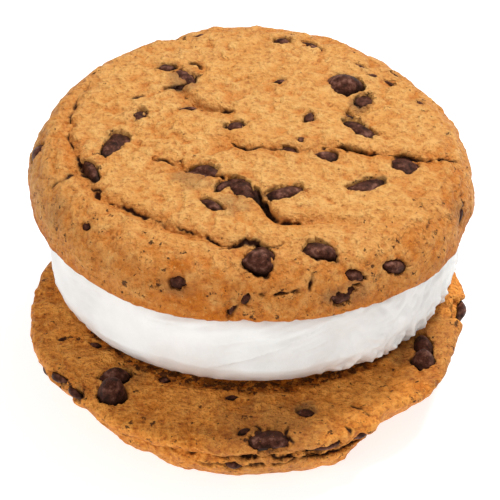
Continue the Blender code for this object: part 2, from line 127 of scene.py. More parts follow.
# A fold is a broad crease of the crown with a high side on its left. A crack is the thin dark
# break in it: it wanders, and closes up over some of its length, the more the higher its gaps.
Fold = namedtuple("Fold", "width depth lip line")
Crack = namedtuple("Crack", "width depth gaps line")
Pit = namedtuple("Pit", "x y radius depth")
Notch = namedtuple("Notch", "angle spread depth")
# A break is a thin crack in a cookie's side, between two angles and two heights
Break = namedtuple("Break", "first last start end width")
# A chip shows a patch, length by width, at the point of the cookie nearest x, y, z. It turns
# from +X round the surface, in degrees. Boxy is 1.2 for a diamond, 2 for an oval and 4 for a
# bar. Its middle stands proud. It may taper towards its end, bend, and be broken by dough.
Chip = namedtuple(
    "Chip", "x y z length width turn boxy proud taper bend broken", defaults=(0, 0, 0),
)
Smear = namedtuple("Smear", "x y z radius strength")
LIP_WIDTHS = 5
FADE_POWER = 0.4


def details(kind, *rows):
    """Details of one kind, turned from millimetres and degrees."""
    turned = []
    for row in rows:
        values = []
        for key, value in zip(kind._fields, row):
            if key in LENGTHS:
                value *= MM
            elif key in ANGLES:
                value = math.radians(value)
            elif key == "line":
                value = [(x * MM, y * MM) for x, y in value]
            values.append(value)
        turned.append(kind(*values))
    return tuple(turned)


LONG_LINE = (
    (-29.0, 18.0), (-32.5, 9.0), (-32.2, -1.5), (-27.3, -15.5), (-20.4, -21.4), (-9.5, -28.1),
    (0.3, -31.2), (9.5, -29.5),
)
FRONT_LINE = (
    (0.6, -15.0), (1.5, -18.4), (2.8, -21.8), (5.0, -24.3), (8.0, -24.4), (11.0, -23.2),
    (16.0, -23.2), (22.0, -23.4),
)
RIGHT_LINE = (
    (3.0, -3.6), (8.4, -4.2), (15.2, -2.6), (20.9, -3.9), (25.4, -3.9), (31.2, -4.1), (37.1, -2.5),
)
LEFT_LINE = ((-17.6, -6.1), (-10.6, -9.7), (-4.9, -12.6), (-1.0, -14.0))
MIDDLE_LINE = ((-8.3, -1.4), (-5.0, -0.6), (-1.0, -3.8), (4.3, -3.4))
BACK_LINE = ((-13.2, 15.6), (-11.6, 12.4), (-9.0, 9.4), (-5.8, 8.2), (-3.0, 8.0))
TOP_FOLDS = details(
    Fold, (1.1, 1.5, 0.6, LONG_LINE), (1, 1.5, 0.4, FRONT_LINE), (0.8, 1.1, 0.4, RIGHT_LINE),
    (0.8, 0.9, 0.3, LEFT_LINE), (0.8, 0.7, 0.3, MIDDLE_LINE), (1.1, 2, 0.6, BACK_LINE),
)
TOP_CRACKS = details(
    Crack,
    (0.17, 0.5, 0.34, LONG_LINE),
    (0.4, 1.2, -0.40, FRONT_LINE[:4]),
    (0.26, 0.7, 0.10, FRONT_LINE[3:6]),
    (0.22, 0.5, 0.30, RIGHT_LINE[:3]),
    (0.36, 1.1, -0.55, RIGHT_LINE[2:4]),
    (0.14, 0.4, 0.10, RIGHT_LINE[3:5]),
    (0.24, 0.8, -0.15, RIGHT_LINE[4:6]),
    (0.18, 0.5, 0.10, RIGHT_LINE[5:]),
    (0.25, 0.9, -0.30, ((-5.4, -32.2), (-2.0, -29.9), (0.8, -30.3), (3.2, -32.6))),
    (0.34, 1, -0.20, ((-16.2, 14.7), (-13.9, 15.3), (-11.5, 16.6), (-9.3, 19.0))),
    (0.3, 0.9, -0.20, ((-11.6, 22.6), (-10.0, 23.0), (-8.8, 21.6))),
    (0.24, 0.6, 0.42, LEFT_LINE),
    (0.22, 0.5, 0.48, MIDDLE_LINE),
    (0.26, 0.6, 0.35, BACK_LINE[1:]),
    (0.22, 0.4, 0.20, ((-22.2, 11.1), (-20.5, 12.2), (-19.0, 12.4))),
    (0.22, 0.4, 0.20, ((-13.0, 30.1), (-12.2, 31.4), (-11.8, 32.8))),
    (0.3, 0.6, 0.10, ((-35.6, -11.9), (-33.1, -11.5), (-31.4, -9.2))),
    (0.18, 0.4, 0.45, ((9.0, -28.5), (8.6, -31.0), (9.4, -33.5))),
    (0.18, 0.4, 0.45, ((17.6, -27.0), (18.5, -29.6), (17.9, -32.0))),
    (0.18, 0.3, 0.45, ((-24.5, -30.9), (-23.5, -28.8), (-23.9, -26.6))),
    (0.18, 0.4, 0.45, ((30.0, -17.5), (31.5, -20.4), (31.0, -23.0))),
)
TOP_PITS = details(
    Pit, (19.2, 10, 1.9, 2.2), (-31, -8.5, 1.6, 1), (-28.5, -23.6, 1.1, 0.8),
    (-2.2, -33, 1.5, 1),
)
TOP_NOTCHES = details(Notch, (-94, 1.8, 1), (112, 2.2, 0.9), (163, 2.5, 0.6))
TOP_BREAKS = details(
    Break, (-88, -76, 6.2, 6.8, 0.26), (-95, -90.5, 1.4, 6.6, 0.26),
    (-75, -73.2, 6.4, 9.2, 0.3), (60, 110, 4, 6, 0.24),
)
TOP_CHIPS = details(
    Chip,
    (-15.6, 21.8, 12, 4, 2.8, 20, 1.4, 0.2, -0.3),
    (-12, 19.2, 12, 6.6, 3.6, -58, 1.8, 0.3, 0.3, 0, 0.40),
    (5.6, 31.2, 12, 3.2, 2.8, 0, 1.8, 0.4),
    (11.2, 30, 12, 5.8, 1.4, -38, 1.8, 0.1, 0, 0, 0.10),
    (17.2, 17.2, 12, 6.8, 6.8, 15, 2.6, 1.8, 0.30),
    (20.4, 13.2, 12, 4, 3.2, 60, 1.8, -0.3),
    (18.7, 9.2, 12, 3.2, 2.4, 30, 1.7, -0.1),
    (19.6, 3.5, 12, 8.2, 2.9, -49, 4, 0.2),
    (10.4, 5.9, 12, 4, 2.1, 80, 1.9, 0.2, 0.3),
    (-2.9, 2.8, 12, 5, 2.6, 25, 1.6, 0.2, 0, 0, 0.30),
    (-20.5, 6.5, 12, 5, 2.8, 40, 1.7, 0.3, 0, 0, 0.50),
    (-24.5, -2, 12, 9, 4.4, 62, 3.2, 0.2, -0.40),
    (-29.5, -9.6, 12, 8, 2.6, -68, 1.9, 0.2),
    (-9.2, -10.2, 12, 7, 4, 2, 1.7, 0.1, -0.6),
    (-1.4, -15.6, 12, 7, 4.2, -62, 2.4, 0.4),
    (-4.5, -14.5, 12, 6.8, 2.4, 46, 2, 0.3, -0.2, -0.5),
    (-7.1, -20.3, 12, 5.4, 2.1, -44, 2.6, 0.2),
    (5.9, -16.7, 12, 8.6, 2.9, 26, 3.4, 0.2),
    (20.3, -13.1, 12, 7.8, 4.2, 25, 2.2, 0.2, -0.4, 0.3),
    (27.4, -6.3, 12, 5.6, 4.8, -20, 2, 0.2),
    (13.3, -5.3, 12, 4.8, 3.2, 0, 1.8, 0.2),
    (6.8, -4.2, 12, 3.8, 2.2, -28, 2, 0.3),
    (8.9, -1.3, 12, 1.8, 1.3, 70, 1.8, 0.1),
    (1.1, -34.2, 11, 6, 7.4, 0, 2.2, 1.4, -0.30, 0, 0.15),
    (12.3, -31.9, 11, 7.2, 4.4, -16, 2.6, 0.5, 0.2),
    (18.7, -35, 7.5, 5, 2.6, -25, 1.8, 0.2, 0, 0, 0.35),
    (25.2, -29.7, 6, 6, 2.8, -8, 2, 0.4),
    (-13, -37.3, 7.4, 3.8, 2.4, 10, 1.9, 0.1),
    (-29, -23, 8.8, 2, 1.4, 40, 1.7, 0, 0, 0, 0.20),
    (16.4, -36.2, 4.2, 5.6, 3.2, 20, 1.7, 0, 0, 0, 0.30),
    (37.4, -12.2, 5.6, 5.4, 1.8, 80, 1.8, 0.1, 0, 0, 0.35),
    (-0.9, -38.9, 5.1, 2.8, 1.5, 60, 1.7, 0.1),
    (-3, -39.2, 2.8, 3, 1.3, 75, 1.7, 0.1, 0, 0, 0.20),
    (5.2, 16.8, 12, 2.8, 1.1, 10, 1.6, 0.1),
    (-10.9, 7.9, 12, 5.4, 1, 8, 1.8, 0.1, 0, 0, 0.35),
    (19.9, 24, 12, 3, 0.9, -30, 1.6, 0.1),
    (22.2, 21.2, 12, 2.6, 1.3, -20, 1.6, 0.1, 0, 0, 0.20),
    (25.2, 19, 12, 3.4, 0.8, -40, 1.6, 0.1),
    (26.5, 22.2, 12, 2.8, 0.8, -40, 1.6, 0.1),
    (30.6, 12.8, 12, 2.4, 1, -45, 1.6, 0.1),
    (-9.5, 33.3, 12, 2.6, 1, 20, 1.6, 0.1),
)
TOP_SMEARS = details(
    Smear, (-12.5, 17.8, 12, 4, 0.55), (-10, -13, 12, 4.5, 0.45), (-4, -20, 12, 4, 0.40),
    (18.6, -35.5, 5, 3.2, 0.40), (15, -37.5, 4.5, 2.6, 0.50), (-13, -37.2, 6.6, 3.4, 0.45),
    (36.5, -14, 6, 4, 0.40), (-34.5, -17.5, 7.5, 3.6, 0.25), (19.5, 11, 12, 2.4, 0.60),
)

# How much the upper cookie's rim is darkened towards brown, at angles in degrees: most at the front
TOP_BROWN = ((-180, 0.42), (-140, 0.46), (-95, 0.92), (-60, 0.80), (-25, 0.50), (60, 0.60))

# The break round the front of the lower cookie's side, measured down from its flat face
SIDE_CREASE_HEIGHT = 0.0036
SIDE_CREASE_WIDTH = 0.0010
SIDE_CREASE_DEPTH = 0.0012
SIDE_CREASE_STEP = 0.0005
SIDE_CREASE_WAVES = ((5, 0.0006, 1.57), (11, 0.0004, 0.57))
SIDE_CREASE_ANGLES = [math.radians(angle) for angle in (-130, -116, -62, -48)]
BOTTOM_NOTCHES = details(
    Notch, (-49, 3, 1.2), (-60, 2.5, 1), (-148, 2.5, 0.8), (35, 3, 1), (118, 2.5, 0.9),
)
BOTTOM_BREAKS = details(
    Break, (-122, -62, 8.6, 8.4, 0.3), (-104, -48, 6.6, 7, 0.28), (-140, -112, 7.8, 8.8, 0.24),
    (40, 120, 6, 8, 0.28),
)

# The lower cookie's chips and smears are measured down from its flat face
BOTTOM_CHIPS = details(
    Chip,
    (-24.1, -25, 0, 5.6, 6, 0, 2, 3.4),
    (-23.8, -19.7, 0, 6.8, 4.4, 18, 2, 1.6, -0.3),
    (-35, -19.3, 1.4, 6, 3, 0, 1.8, 0.4),
    (-32.3, -23.6, 1.6, 6, 3, 0, 1.9, 0.3),
    (3.6, -37.6, 0, 7.8, 6.4, 5, 2.6, 0.5, 0.1, 0, 0.25),
    (-0.4, -35.2, 0, 2.8, 1.7, 30, 1.7, 0.1),
    (10.3, -29.9, 0, 3.4, 2.6, 0, 1.7, 0.1),
    (31.6, -10.4, 0, 6.8, 4.2, 100, 2, 1.4, 0.3),
    (31.6, -15.2, 0, 5, 4.6, 90, 2, 2.2),
    (39.3, 1.8, 1.8, 13.6, 3.8, 87, 2.2, 0.6),
    (14, -36.9, 3.6, 7.6, 2.4, 10, 1.6, 0.3),
    (20.4, -33.8, 5, 4.2, 2.8, 15, 1.6, 0.3),
    (-2.4, -39.4, 6, 3.8, 2.4, 0, 1.7, 0.2),
    (-2.7, -25.6, 0, 3, 1.2, 0, 1.5, 0.2),
    (-33.2, -8.8, 0, 1.8, 1.2, 0, 1.6, 0.1),
    (-27.4, -10.3, 0, 2.8, 1.4, -20, 1.6, 0.1),
    (-15, -20.5, 0, 2.4, 1.8, 0, 1.6, 0.1),
)
# The two wide smears last darken the lower cookie's right side and front with the smear's
# grey-brown: painted shade
BOTTOM_SMEARS = details(
    Smear, (10.3, -29.9, 0, 3, 0.70), (2, -36, 0, 4, 0.35), (-21, -20, 0, 4, 0.35),
    (33, -14, 0, 4, 0.35), (34, -11, 0, 13, 0.40), (4, -37, 0, 13, 0.36),
)
BOTTOM_CRACKS = details(
    Crack,
    (0.28, 0.6, 0.20, ((1.2, -33.6), (2.4, -35.2), (1.4, -36.8))),
    (0.26, 0.5, 0.20, ((7.4, -34.2), (7.0, -36.6), (8.4, -38.6))),
    (0.24, 0.5, 0.10, ((18.4, -28.4), (20.2, -29.2), (21.8, -31.0))),
    (0.24, 0.5, 0.10, ((17.2, -34.0), (18.6, -35.0), (19.8, -34.4))),
)

# Dark specks on the lower cookie along the cream's edge: the arc's middle, radius, half widths
# where they are full and where they end, and angles
SPECK_CENTRE = (0.0009, 0.0082, 0.0)
SPECK_RADIUS = 0.0312
SPECK_REACH = (0.0012, 0.0026)
SPECK_ANGLES = (math.radians(-155), math.radians(-35))

# Spare chips round the rims where none are given, as in the solids: for each cookie the angles
# in degrees, the heights, how many and the seed
SPARE_CHIP_SIZES = (0.0036, 0.0062)
SPARE_CHIP_WIDTHS = (0.5, 0.9)
SPARE_CHIP_BOXY = 1.7
SPARE_CHIP_PROUD = 0.0004
SPARE_CHIP_SPACING = 0.0085
SPARE_CHIP_TRIES = 60
TOP_SPARE_CHIPS = ((15, 200), (0.0035, 0.0085), 8, 7)
BOTTOM_SPARE_CHIPS = ((8, 205), (0.0020, 0.0080), 11, 17)

# Each cookie's shape, with the steps along its section and the spokes of its round
Shape = namedtuple("Shape", "rim fullness notches folds pits seed step flat_step spokes")
TOP_SHAPE = Shape(
    TOP_RIM, ((-180, 1.0),), TOP_NOTCHES, TOP_FOLDS, TOP_PITS, TOP_SEED, 0.00056, 0.003, 350,
)
BOTTOM_SHAPE = Shape(
    BOTTOM_RIM, BOTTOM_FULLNESS, BOTTOM_NOTCHES, (), (), BOTTOM_SEED, 0.00068, 0.00068, 320,
)

# Near chips, cracks and breaks, edges are cut in passes down to these lengths
FINE_LENGTHS = (0.00034, 0.00019)
FINE_REACH = 2.2
FINE_MARGIN = 0.0003
CUT_ABOVE = 1.35

# A chip's outline: corners are cut off it unless it is as boxy as a clean bar. Chips narrower
# than the full width have their detail scaled down.
CHIP_REACH = 0.0032
CHIP_FALL = 0.0022
CORNER_CUTS = 5
CORNER_REACH = (0.74, 0.98)
CLEAN_BAR = 4
BEND_LEVEL = 0.33
FULL_WIDTH = 0.003

# A chip's socket in the dough, by distance from the chip's edge: its wall, the gap on one side
# of it, the lip on the other and the stain round it. Heights come with the size across.
SOCKET_DEPTH = 0.0014
SOCKET_WALL = (0.00008, -0.00022)
SOCKET_RAGGED = (0.00050, 0.0019)
SOCKET_FINE_RAGGED = (0.00042, 0.0008)
GAP_SWING = 1.2
GAP_SIDE = (-0.1, 0.8)
GAP_PLACE = 0.00004
GAP_WIDTH = 0.00026
GAP_DEPTH = 0.00070
LIP_PLACE = 0.0007
LIP_WIDTH = 0.0005
LIP_HEIGHT = 0.00030
STAIN_REACH = 0.0009
STAIN_TONE = 0.28
DOUGH_OVER_CHIP = 0.0012
DOUGH_OVER_CHIP_SIZE = 0.0014

# A chip's lump: its margin under the dough, the drop at its edge, its thickness below the
# surface, its flattened facets and its unevenness. Tall chips are fuller, like a dome.
CHIP_MARGIN = 0.0009
CHIP_EDGE_DROP = 0.00055
CHIP_THICKNESS = 0.0016
CHIP_UNDER_SHARE = 0.8
CHIP_SHOULDER_POWER = 6
FACETS = 5
FACET_SLOPES = (0.00015, 0.00075)
FACET_STARTS = (0.2, 0.9)
DOME_FROM = 0.001
DOME_GROWTH = 400
CHIP_ROUGH = (0.00012, 0.0019)
CHIP_RIDGES = (0.00018, 0.0034)

# How cracks wander, where they close up, and how ragged they are
WANDER = ((0.0008, 0.0030), (0.0003, 0.0010))
CLOSED_SIZE = 0.0024
CRACK_RAGGED = (0.00014, 0.00055)
LONG_CRACK = 0.025
CRACK_REACH = 0.004
CRACK_FACING = (0.0, 0.4)
BREAK_OPEN = (-0.45, 0.05)
BREAK_DEPTH = 0.0009
BREAK_FACING = (0.9, 0.7)
BREAK_RADII = (0.6 * COOKIE_RADIUS, 0.85 * COOKIE_RADIUS)

# The crumb all over: bumps, swellings with wrinkles between them, and pores
CRUMB = ((0.00042, 0.0026), (0.00026, 0.0013), (0.00006, 0.0006))
CRUMB_PATCHES = 0.010
SWELLING_SIZES = (0.0042, 0.0015)
SWELLING_HEIGHTS = (0.00008, 0.00014)
SWELLING_FULL = 0.4
WRINKLE_WIDTH = 0.07
WRINKLE_DEPTH = 0.00026
WRINKLE_PATCHES = 0.011
# Crumb heights over which its hollows take painted shade
HOLLOW_SHADE_CRUMB = (0.00012, -0.00024)
PORE_SIZE = 0.0013
PORE_EDGE = (0.42, 0.60)
PORE_DEPTH = 0.00012
RIM_SPECKS = (0.028, 0.038)
RIM_SPECK_TONE = 0.45

# As shares: rim browning, and painted shade in that brown on folds' low sides and the upper
# cookie's foot
BROWN_RADII = (0.029, 0.0400)
BROWN_PATCHES = ((0.5, 0.009), (0.7, 0.0020))
FOLD_PAINTED_SHADE = 0.58
FOLD_PAINTED_SHADE_PLACE = 0.0008
FOLD_PAINTED_SHADE_WIDTH = 0.0018
FOOT_PAINTED_SHADE = 0.85
FOOT_PAINTED_SHADE_HEIGHTS = (0.0002, 0.0064)
BOTTOM_BROWN = 0.25
# Painted shadow, in the brown tone, along the cream's edge on the lower cookie
CREAM_EDGE_PAINTED_SHADOW = 0.85
CREAM_EDGE_SHADE = 0.55
SHADE_SIZE = 0.0018
SPECK_TONES = (1.3, 0.42)

# The cream's surface, with angles from +X: the knife's sweeps, a fold of it at the front, its
# torn right side and its ragged lower edge
CREAM_STEP = 0.0003
CREAM_FLAT_STEP = 0.003
CREAM_SPOKES = 560
SWEEPS = (0.00036, 0.0013)
SWEEP_STRETCH = 7
SWEEP_SLOPE = 0.22
SWEEP_PATCHES = 0.010
CREAM_RIPPLES = (0.00025, 0.0040)
CREAM_FOLD_HEIGHT = 0.0110
CREAM_FOLD_ANGLE = -1.59
CREAM_FOLD_CLIMB = 0.0160
CREAM_FOLD_DEPTH = 0.0008
CREAM_FOLD_WIDTH = 0.0018
CREAM_FOLD_ANGLES = (-1.85, -1.55, -1.20, -1.05)
TORN_ANGLES = (-1.35, -0.9, 0.0, 0.4)
TORN = (0.00065, 0.0026)
EDGE_HEIGHTS = (0.0, 0.0012, 0.0030, 0.0085)
EDGE_DEPTHS = (0.0003, 0.0013)
EDGE_LOBES = (2.0, 0.0032)
EDGE_CRUMBS = (0.5, 0.0012)
EDGE_LEVEL = 0.6

# The dough's patterns, each its size in mm, detail and roughness: broad patches, mottling, grain,
# the lines of its hair cracks, the patches where they open, and specks
DOUGH_PATTERNS = (
    (9.0909, 3.0, 0.55), (1.66667, 4.0, 0.60), (0.76923, 2.5, 0.60), (3.33333, 3.0, 0.60),
    (2.94118, 2.0, 0.50), (1.51515, 3.0, 0.70),
)
DOUGH_TONES = ("crack", "smear", "specks", "low", "brown", "craze")
EASED = {"interpolation_type": "SMOOTHSTEP"}

# The camera, and the lamps with their places, sizes and powers
AIM = (0.0, 0.0, 0.02225)
ELEVATION = math.radians(37)
DISTANCE = 1.3
FIELD = 0.0903
SENSOR = 36
LAMP_AIM = (0.0, 0.0, 0.02)
LAMPS = (
    ("overhead", (0.26, 0.22, 0.72), 0.22, 6.0),
    ("front_fill", (-0.40, -0.72, 0.42), 0.7, 3.1),
)
FLOOR_SIZE = 3.0


def smooth_steps(low, high, value):
    share = np.clip((value - low) / (high - low), 0.0, 1.0)
    return share * share * (3 - 2 * share)


def between(ends, value):
    """Full between the middle two of four ends, eased to nothing at the outer two."""
    return smooth_steps(*ends[:2], value) * (1 - smooth_steps(*ends[2:], value))


def faded(along):
    """How strong a crease is at a share of its length, with nothing at its ends."""
    return np.sin(np.pi * np.clip(along, 0.0, 1.0)) ** FADE_POWER


def bell(away, width):
    """Full at nothing away, falling off smoothly over the width."""
    return np.exp(-((away / width) ** 2))


def steps_at(angle, reach):
    """Steps in x and y, as long as the reach, at the angle from +X."""
    return np.stack((reach * np.cos(angle), reach * np.sin(angle)), axis=1)


def angle_and_radius(points):
    """Each point's angle from +X and its distance from the middle, seen from above."""
    return np.arctan2(points[:, 1], points[:, 0]), np.hypot(points[:, 0], points[:, 1])


def arc(centre, radii, start, end, step):
    """Points of an elliptical arc in a section, about a step apart, without its first point."""
    count = max(3, round(abs(end - start) * max(radii) / step))
    angles = [start + (end - start) * i / count for i in range(1, count + 1)]
    return [
        (centre[0] + radii[0] * math.cos(a), centre[1] + radii[1] * math.sin(a)) for a in angles
    ]


def run(start, end, step):
    """Points along a straight stretch of a section, about a step apart, with both ends."""
    count = max(1, round(math.dist(start, end) / step))
    return [
        (
            start[0] + (end[0] - start[0]) * i / count,
            start[1] + (end[1] - start[1]) * i / count,
        )
        for i in range(count + 1)
    ]


def cookie_section(step, flat_step):
    """A level crown's middle, over the shoulder, round the foot and to the flat face's middle."""
    shoulder = COOKIE_RADIUS - SHOULDER_RUN
    level = FOOT_RISE + SHOULDER_RISE
    quarter = math.pi / 2
    section = run((0.0, level), (shoulder, level), step)
    section += arc((shoulder, FOOT_RISE), (SHOULDER_RUN, SHOULDER_RISE), quarter, 0, step)
    foot = COOKIE_RADIUS - FOOT_RUN
    section += arc((foot, FOOT_RISE), (FOOT_RUN, FOOT_RISE), 0, -quarter, step)
    return section + run((foot, 0.0), (0.0, 0.0), flat_step)[1:]


def cream_section(step, flat_step):
    """A round-edged cylinder, from the middle of its top to the middle of its base."""
    edge = CREAM_RADIUS - CREAM_EDGE_RUN
    level = CREAM_HEIGHT - CREAM_EDGE_RISE
    quarter = math.pi / 2
    section = run((0.0, CREAM_HEIGHT), (edge, CREAM_HEIGHT), flat_step)
    section += arc((edge, level), (CREAM_EDGE_RUN, CREAM_EDGE_RISE), quarter, 0, step)
    section += run((CREAM_RADIUS, level), (CREAM_RADIUS, 0.0), step)[1:]
    return section + run((CREAM_RADIUS, 0.0), (0.0, 0.0), flat_step)[1:]


def spun(section, steps):
    """A closed form turned from its section, both ends of which are on the axis."""
    form = bmesh.new()
    verts = [form.verts.new((r, 0.0, z)) for r, z in section]
    edges = [form.edges.new(pair) for pair in zip(verts, verts[1:])]
    bmesh.ops.spin(
        form,
        geom=verts + edges,
        cent=(0, 0, 0),
        axis=(0, 0, 1),
        angle=2 * math.pi,
        steps=steps,
        use_merge=True,
    )
    bmesh.ops.remove_doubles(form, verts=form.verts, dist=TINY)
    bmesh.ops.recalc_face_normals(form, faces=form.faces)
    form.normal_update()
    return form


def rounded_line(points, pieces=5):
    """A smooth curve through the points, as a chain of short pieces."""
    ends = [2 * Vector(points[0]) - Vector(points[1]), 2 * Vector(points[-1]) - Vector(points[-2])]
    line = [ends[0], *map(Vector, points), ends[1]]
    chain = [line[1]]
    for before, start, end, after in zip(line, line[1:], line[2:], line[3:]):
        for i in range(1, pieces + 1):
            t = i / pieces
            chain.append(0.5 * (
                2 * start
                + (end - before) * t
                + (2 * before - 5 * start + 4 * end - after) * t ** 2
                + (3 * start - before - 3 * end + after) * t ** 3
            ))
    return chain


def line_field(points, x, y):
    """Signed distance of each point from a line, positive on its left, and the share along it."""
    chain = rounded_line(points)
    nearest = np.full(x.shape, np.inf)
    signed = np.zeros(x.shape)
    along = np.zeros(x.shape)
    for i, (start, end) in enumerate(zip(chain, chain[1:])):
        way = end - start
        share = ((x - start.x) * way.x + (y - start.y) * way.y) / way.length_squared
        share = np.clip(share, 0.0, 1.0)
        dx = x - start.x - share * way.x
        dy = y - start.y - share * way.y
        distance = np.hypot(dx, dy)
        closer = distance < nearest
        side = np.where(way.x * dy - way.y * dx >= 0, 1.0, -1.0)
        nearest = np.where(closer, distance, nearest)
        signed = np.where(closer, side * distance, signed)
        along = np.where(closer, (i + share) / (len(chain) - 1), along)
    return signed, along


def crown_relief(x, y, folds, pits):
    """How far the crown rises or sinks at each point: folds with a high side, and pits."""
    relief = np.zeros(x.shape)
    for fold in folds:
        signed, along = line_field(fold.line, x, y)
        high_side = 0.5 * (1 + np.tanh(signed / fold.width))
        fade = faded(along)
        relief -= fold.depth * fade * bell(signed, fold.width)
        reach = LIP_WIDTHS * fold.width
        relief += fold.lip * fade * high_side * np.exp(-np.abs(signed) / reach)
    for pit in pits:
        away = np.hypot(x - pit.x, y - pit.y)
        relief -= pit.depth * bell(away, pit.radius)
    return relief


def bumps(points, size, seed):
    """Smooth unevenness from about -1 to 1, with bumps of about the given size."""
    shift = Vector((seed, 2 * seed, 3 * seed))
    return np.array([noise.noise(Vector(p) + shift) for p in (points / size).tolist()])


def lumps(points, height_and_size, seed):
    height, size = height_and_size
    return height * bumps(points, size, seed)


def waves_at(angle, waves):
    return sum(height * np.cos(count * angle - crest) for count, height, crest in waves)


def round_the_rim(angle, stations):
    """Eases from each station's value to the next, all the way round."""
    degrees = np.degrees(angle)
    value = np.zeros(angle.shape)
    for (start, low), (end, high) in zip(stations, (*stations[1:], (180, stations[0][1]))):
        here = (degrees >= start) & (degrees <= end)
        value[here] = low + (high - low) * smooth_steps(start, end, degrees[here])
    return value


def filled_out(radius, height, fullness):
    """A level section crowned, with its shoulder drawn in where the cookie is less full."""
    shoulder = COOKIE_RADIUS - SHOULDER_RUN
    run_in = SHOULDER_RUN + SLACK_RUN * (1 - fullness)
    power = 2 / (2 - SLACK_POWER * (1 - fullness))
    turn = np.arctan2((height - FOOT_RISE) / SHOULDER_RISE, (radius - shoulder) / SHOULDER_RUN)
    turn = np.clip(turn, 0.0, math.pi / 2)
    slope = COOKIE_RADIUS - run_in + run_in * np.cos(turn) ** power
    above = height >= FOOT_RISE - TINY
    inner = above & (radius <= shoulder)
    new_height = np.where(above, FOOT_RISE + SHOULDER_RISE * np.sin(turn) ** power, height)
    new_height = np.where(inner, FOOT_RISE + SHOULDER_RISE, new_height)
    new_radius = np.where(above, slope, radius)
    new_radius = np.where(inner, radius * (COOKIE_RADIUS - run_in) / shoulder, new_radius)
    crown = CROWN_RISE * (1 - (new_radius / COOKIE_RADIUS) ** 2)
    return new_radius, new_height + np.where(above, crown, 0.0)


def notches_at(angle, notches):
    depth = np.zeros(angle.shape)
    for notch in notches:
        off = (angle - notch.angle + np.pi) % (2 * np.pi) - np.pi
        depth += notch.depth * bell(off, notch.spread)
    return depth


def positions(form):
    return np.array([v.co for v in form.verts])


def normals(form):
    form.normal_update()
    return np.array([v.normal for v in form.verts])


def move_to(form, points):
    for vert, point in zip(form.verts, points):
        vert.co = point


def uneven_cookie(shape):
    """A cookie with its crown up and its flat face at zero, before its chips."""
    form = spun(cookie_section(shape.step, shape.flat_step), shape.spokes)
    base = positions(form)
    angle, radius = angle_and_radius(base)
    fullness = round_the_rim(angle, shape.fullness)
    radius, base[:, 2] = filled_out(radius, base[:, 2], fullness)
    base[:, :2] = steps_at(angle, radius)
    move_to(form, base)
    facing = normals(form)
    rim = smooth_steps(COOKIE_RADIUS - 2 * RIM_DEPTH, COOKIE_RADIUS, radius)
    rise = smooth_steps(0.0, FOOT_RISE, base[:, 2])
    crown = smooth_steps(*CROWN_FACING, facing[:, 2])
    side = 1 - np.abs(facing[:, 2])
    outward = round_the_rim(angle, shape.rim) * rim
    outward -= notches_at(angle, shape.notches) * rim * rise
    outward += lumps(base, SIDE_LUMPS, shape.seed) * side * rise
    upward = crown_relief(base[:, 0], base[:, 1], shape.folds, shape.pits) * crown
    ripples = lumps(base, CROWN_LUMPS, shape.seed + 5) + lumps(base, CROWN_RIPPLES, shape.seed + 9)
    base[:, :2] += steps_at(angle, outward)
    base[:, 2] += upward + ripples * crown
    move_to(form, base)
    return form


def side_crease(form):
    """The break in the lower cookie's side, where its crown meets its rim."""
    points = positions(form)
    angle, radius = angle_and_radius(points)
    line = SIDE_CREASE_HEIGHT + waves_at(angle, SIDE_CREASE_WAVES)
    below = points[:, 2] - line
    rim = smooth_steps(COOKIE_RADIUS - RIM_DEPTH, COOKIE_RADIUS - RIM_DEPTH / 2, radius)
    inward = SIDE_CREASE_DEPTH * bell(below, SIDE_CREASE_WIDTH) + SIDE_CREASE_STEP * (below > 0)
    inward *= between(SIDE_CREASE_ANGLES, angle) * rim
    points[:, :2] -= steps_at(angle, inward)
    move_to(form, points)


def turned_over(form):
    """Crown down, seen from above as before, and cut level where it rests, at zero."""
    points = positions(form)
    points[:, 2] = np.maximum(COOKIE_HEIGHT - points[:, 2], 0.0)
    move_to(form, points)
    bmesh.ops.reverse_faces(form, faces=form.faces)


def spare_chips(known, angles, heights, count, seed):
    """Chips round the rim where the shown ones leave off, drawn apart from each other."""
    draw = random.Random(seed)
    found = []
    for _ in range(SPARE_CHIP_TRIES * count):
        if len(found) == count:
            break
        angle = math.radians(draw.uniform(*angles))
        place = Vector((
            COOKIE_RADIUS * math.cos(angle),
            COOKIE_RADIUS * math.sin(angle),
            draw.uniform(*heights),
        ))
        length = draw.uniform(*SPARE_CHIP_SIZES)
        width = length * draw.uniform(*SPARE_CHIP_WIDTHS)
        near = [c for c in (*known, *found) if (Vector(c[:3]) - place).length < SPARE_CHIP_SPACING]
        if not near:
            turn = draw.uniform(-90, 90)
            found.append(Chip(*place, length, width, turn, SPARE_CHIP_BOXY, SPARE_CHIP_PROUD))
    return tuple(found)


# Where a chip sits: its middle on the surface, its axes, the corners cut off its outline and
# the way that its gap in the dough faces
Seat = namedtuple("Seat", "point along across out cuts gap_way")


def chip_seat(chip, surface, draw):
    point, out, _, _ = surface.find_nearest((chip.x, chip.y, chip.z))
    cuts = [
        (draw.uniform(0, 2 * math.pi), draw.uniform(*CORNER_REACH)) for _ in range(CORNER_CUTS)
    ]
    gap_angle = -math.pi / 2 + draw.uniform(-GAP_SWING, GAP_SWING)
    level = Vector((1, 0, 0)) - out * out.x
    level.normalize()
    upright = out.cross(level)
    turn = math.radians(chip.turn)
    return Seat(
        point,
        level * math.cos(turn) + upright * math.sin(turn),
        upright * math.cos(turn) - level * math.sin(turn),
        out,
        cuts,
        np.array((math.cos(gap_angle), math.sin(gap_angle), 0.0)),
    )


def taper_at(chip, share):
    """How wide the chip is at a share of its half length, against its given width."""
    return (1 - chip.taper * share) / (1 + 0.5 * abs(chip.taper))


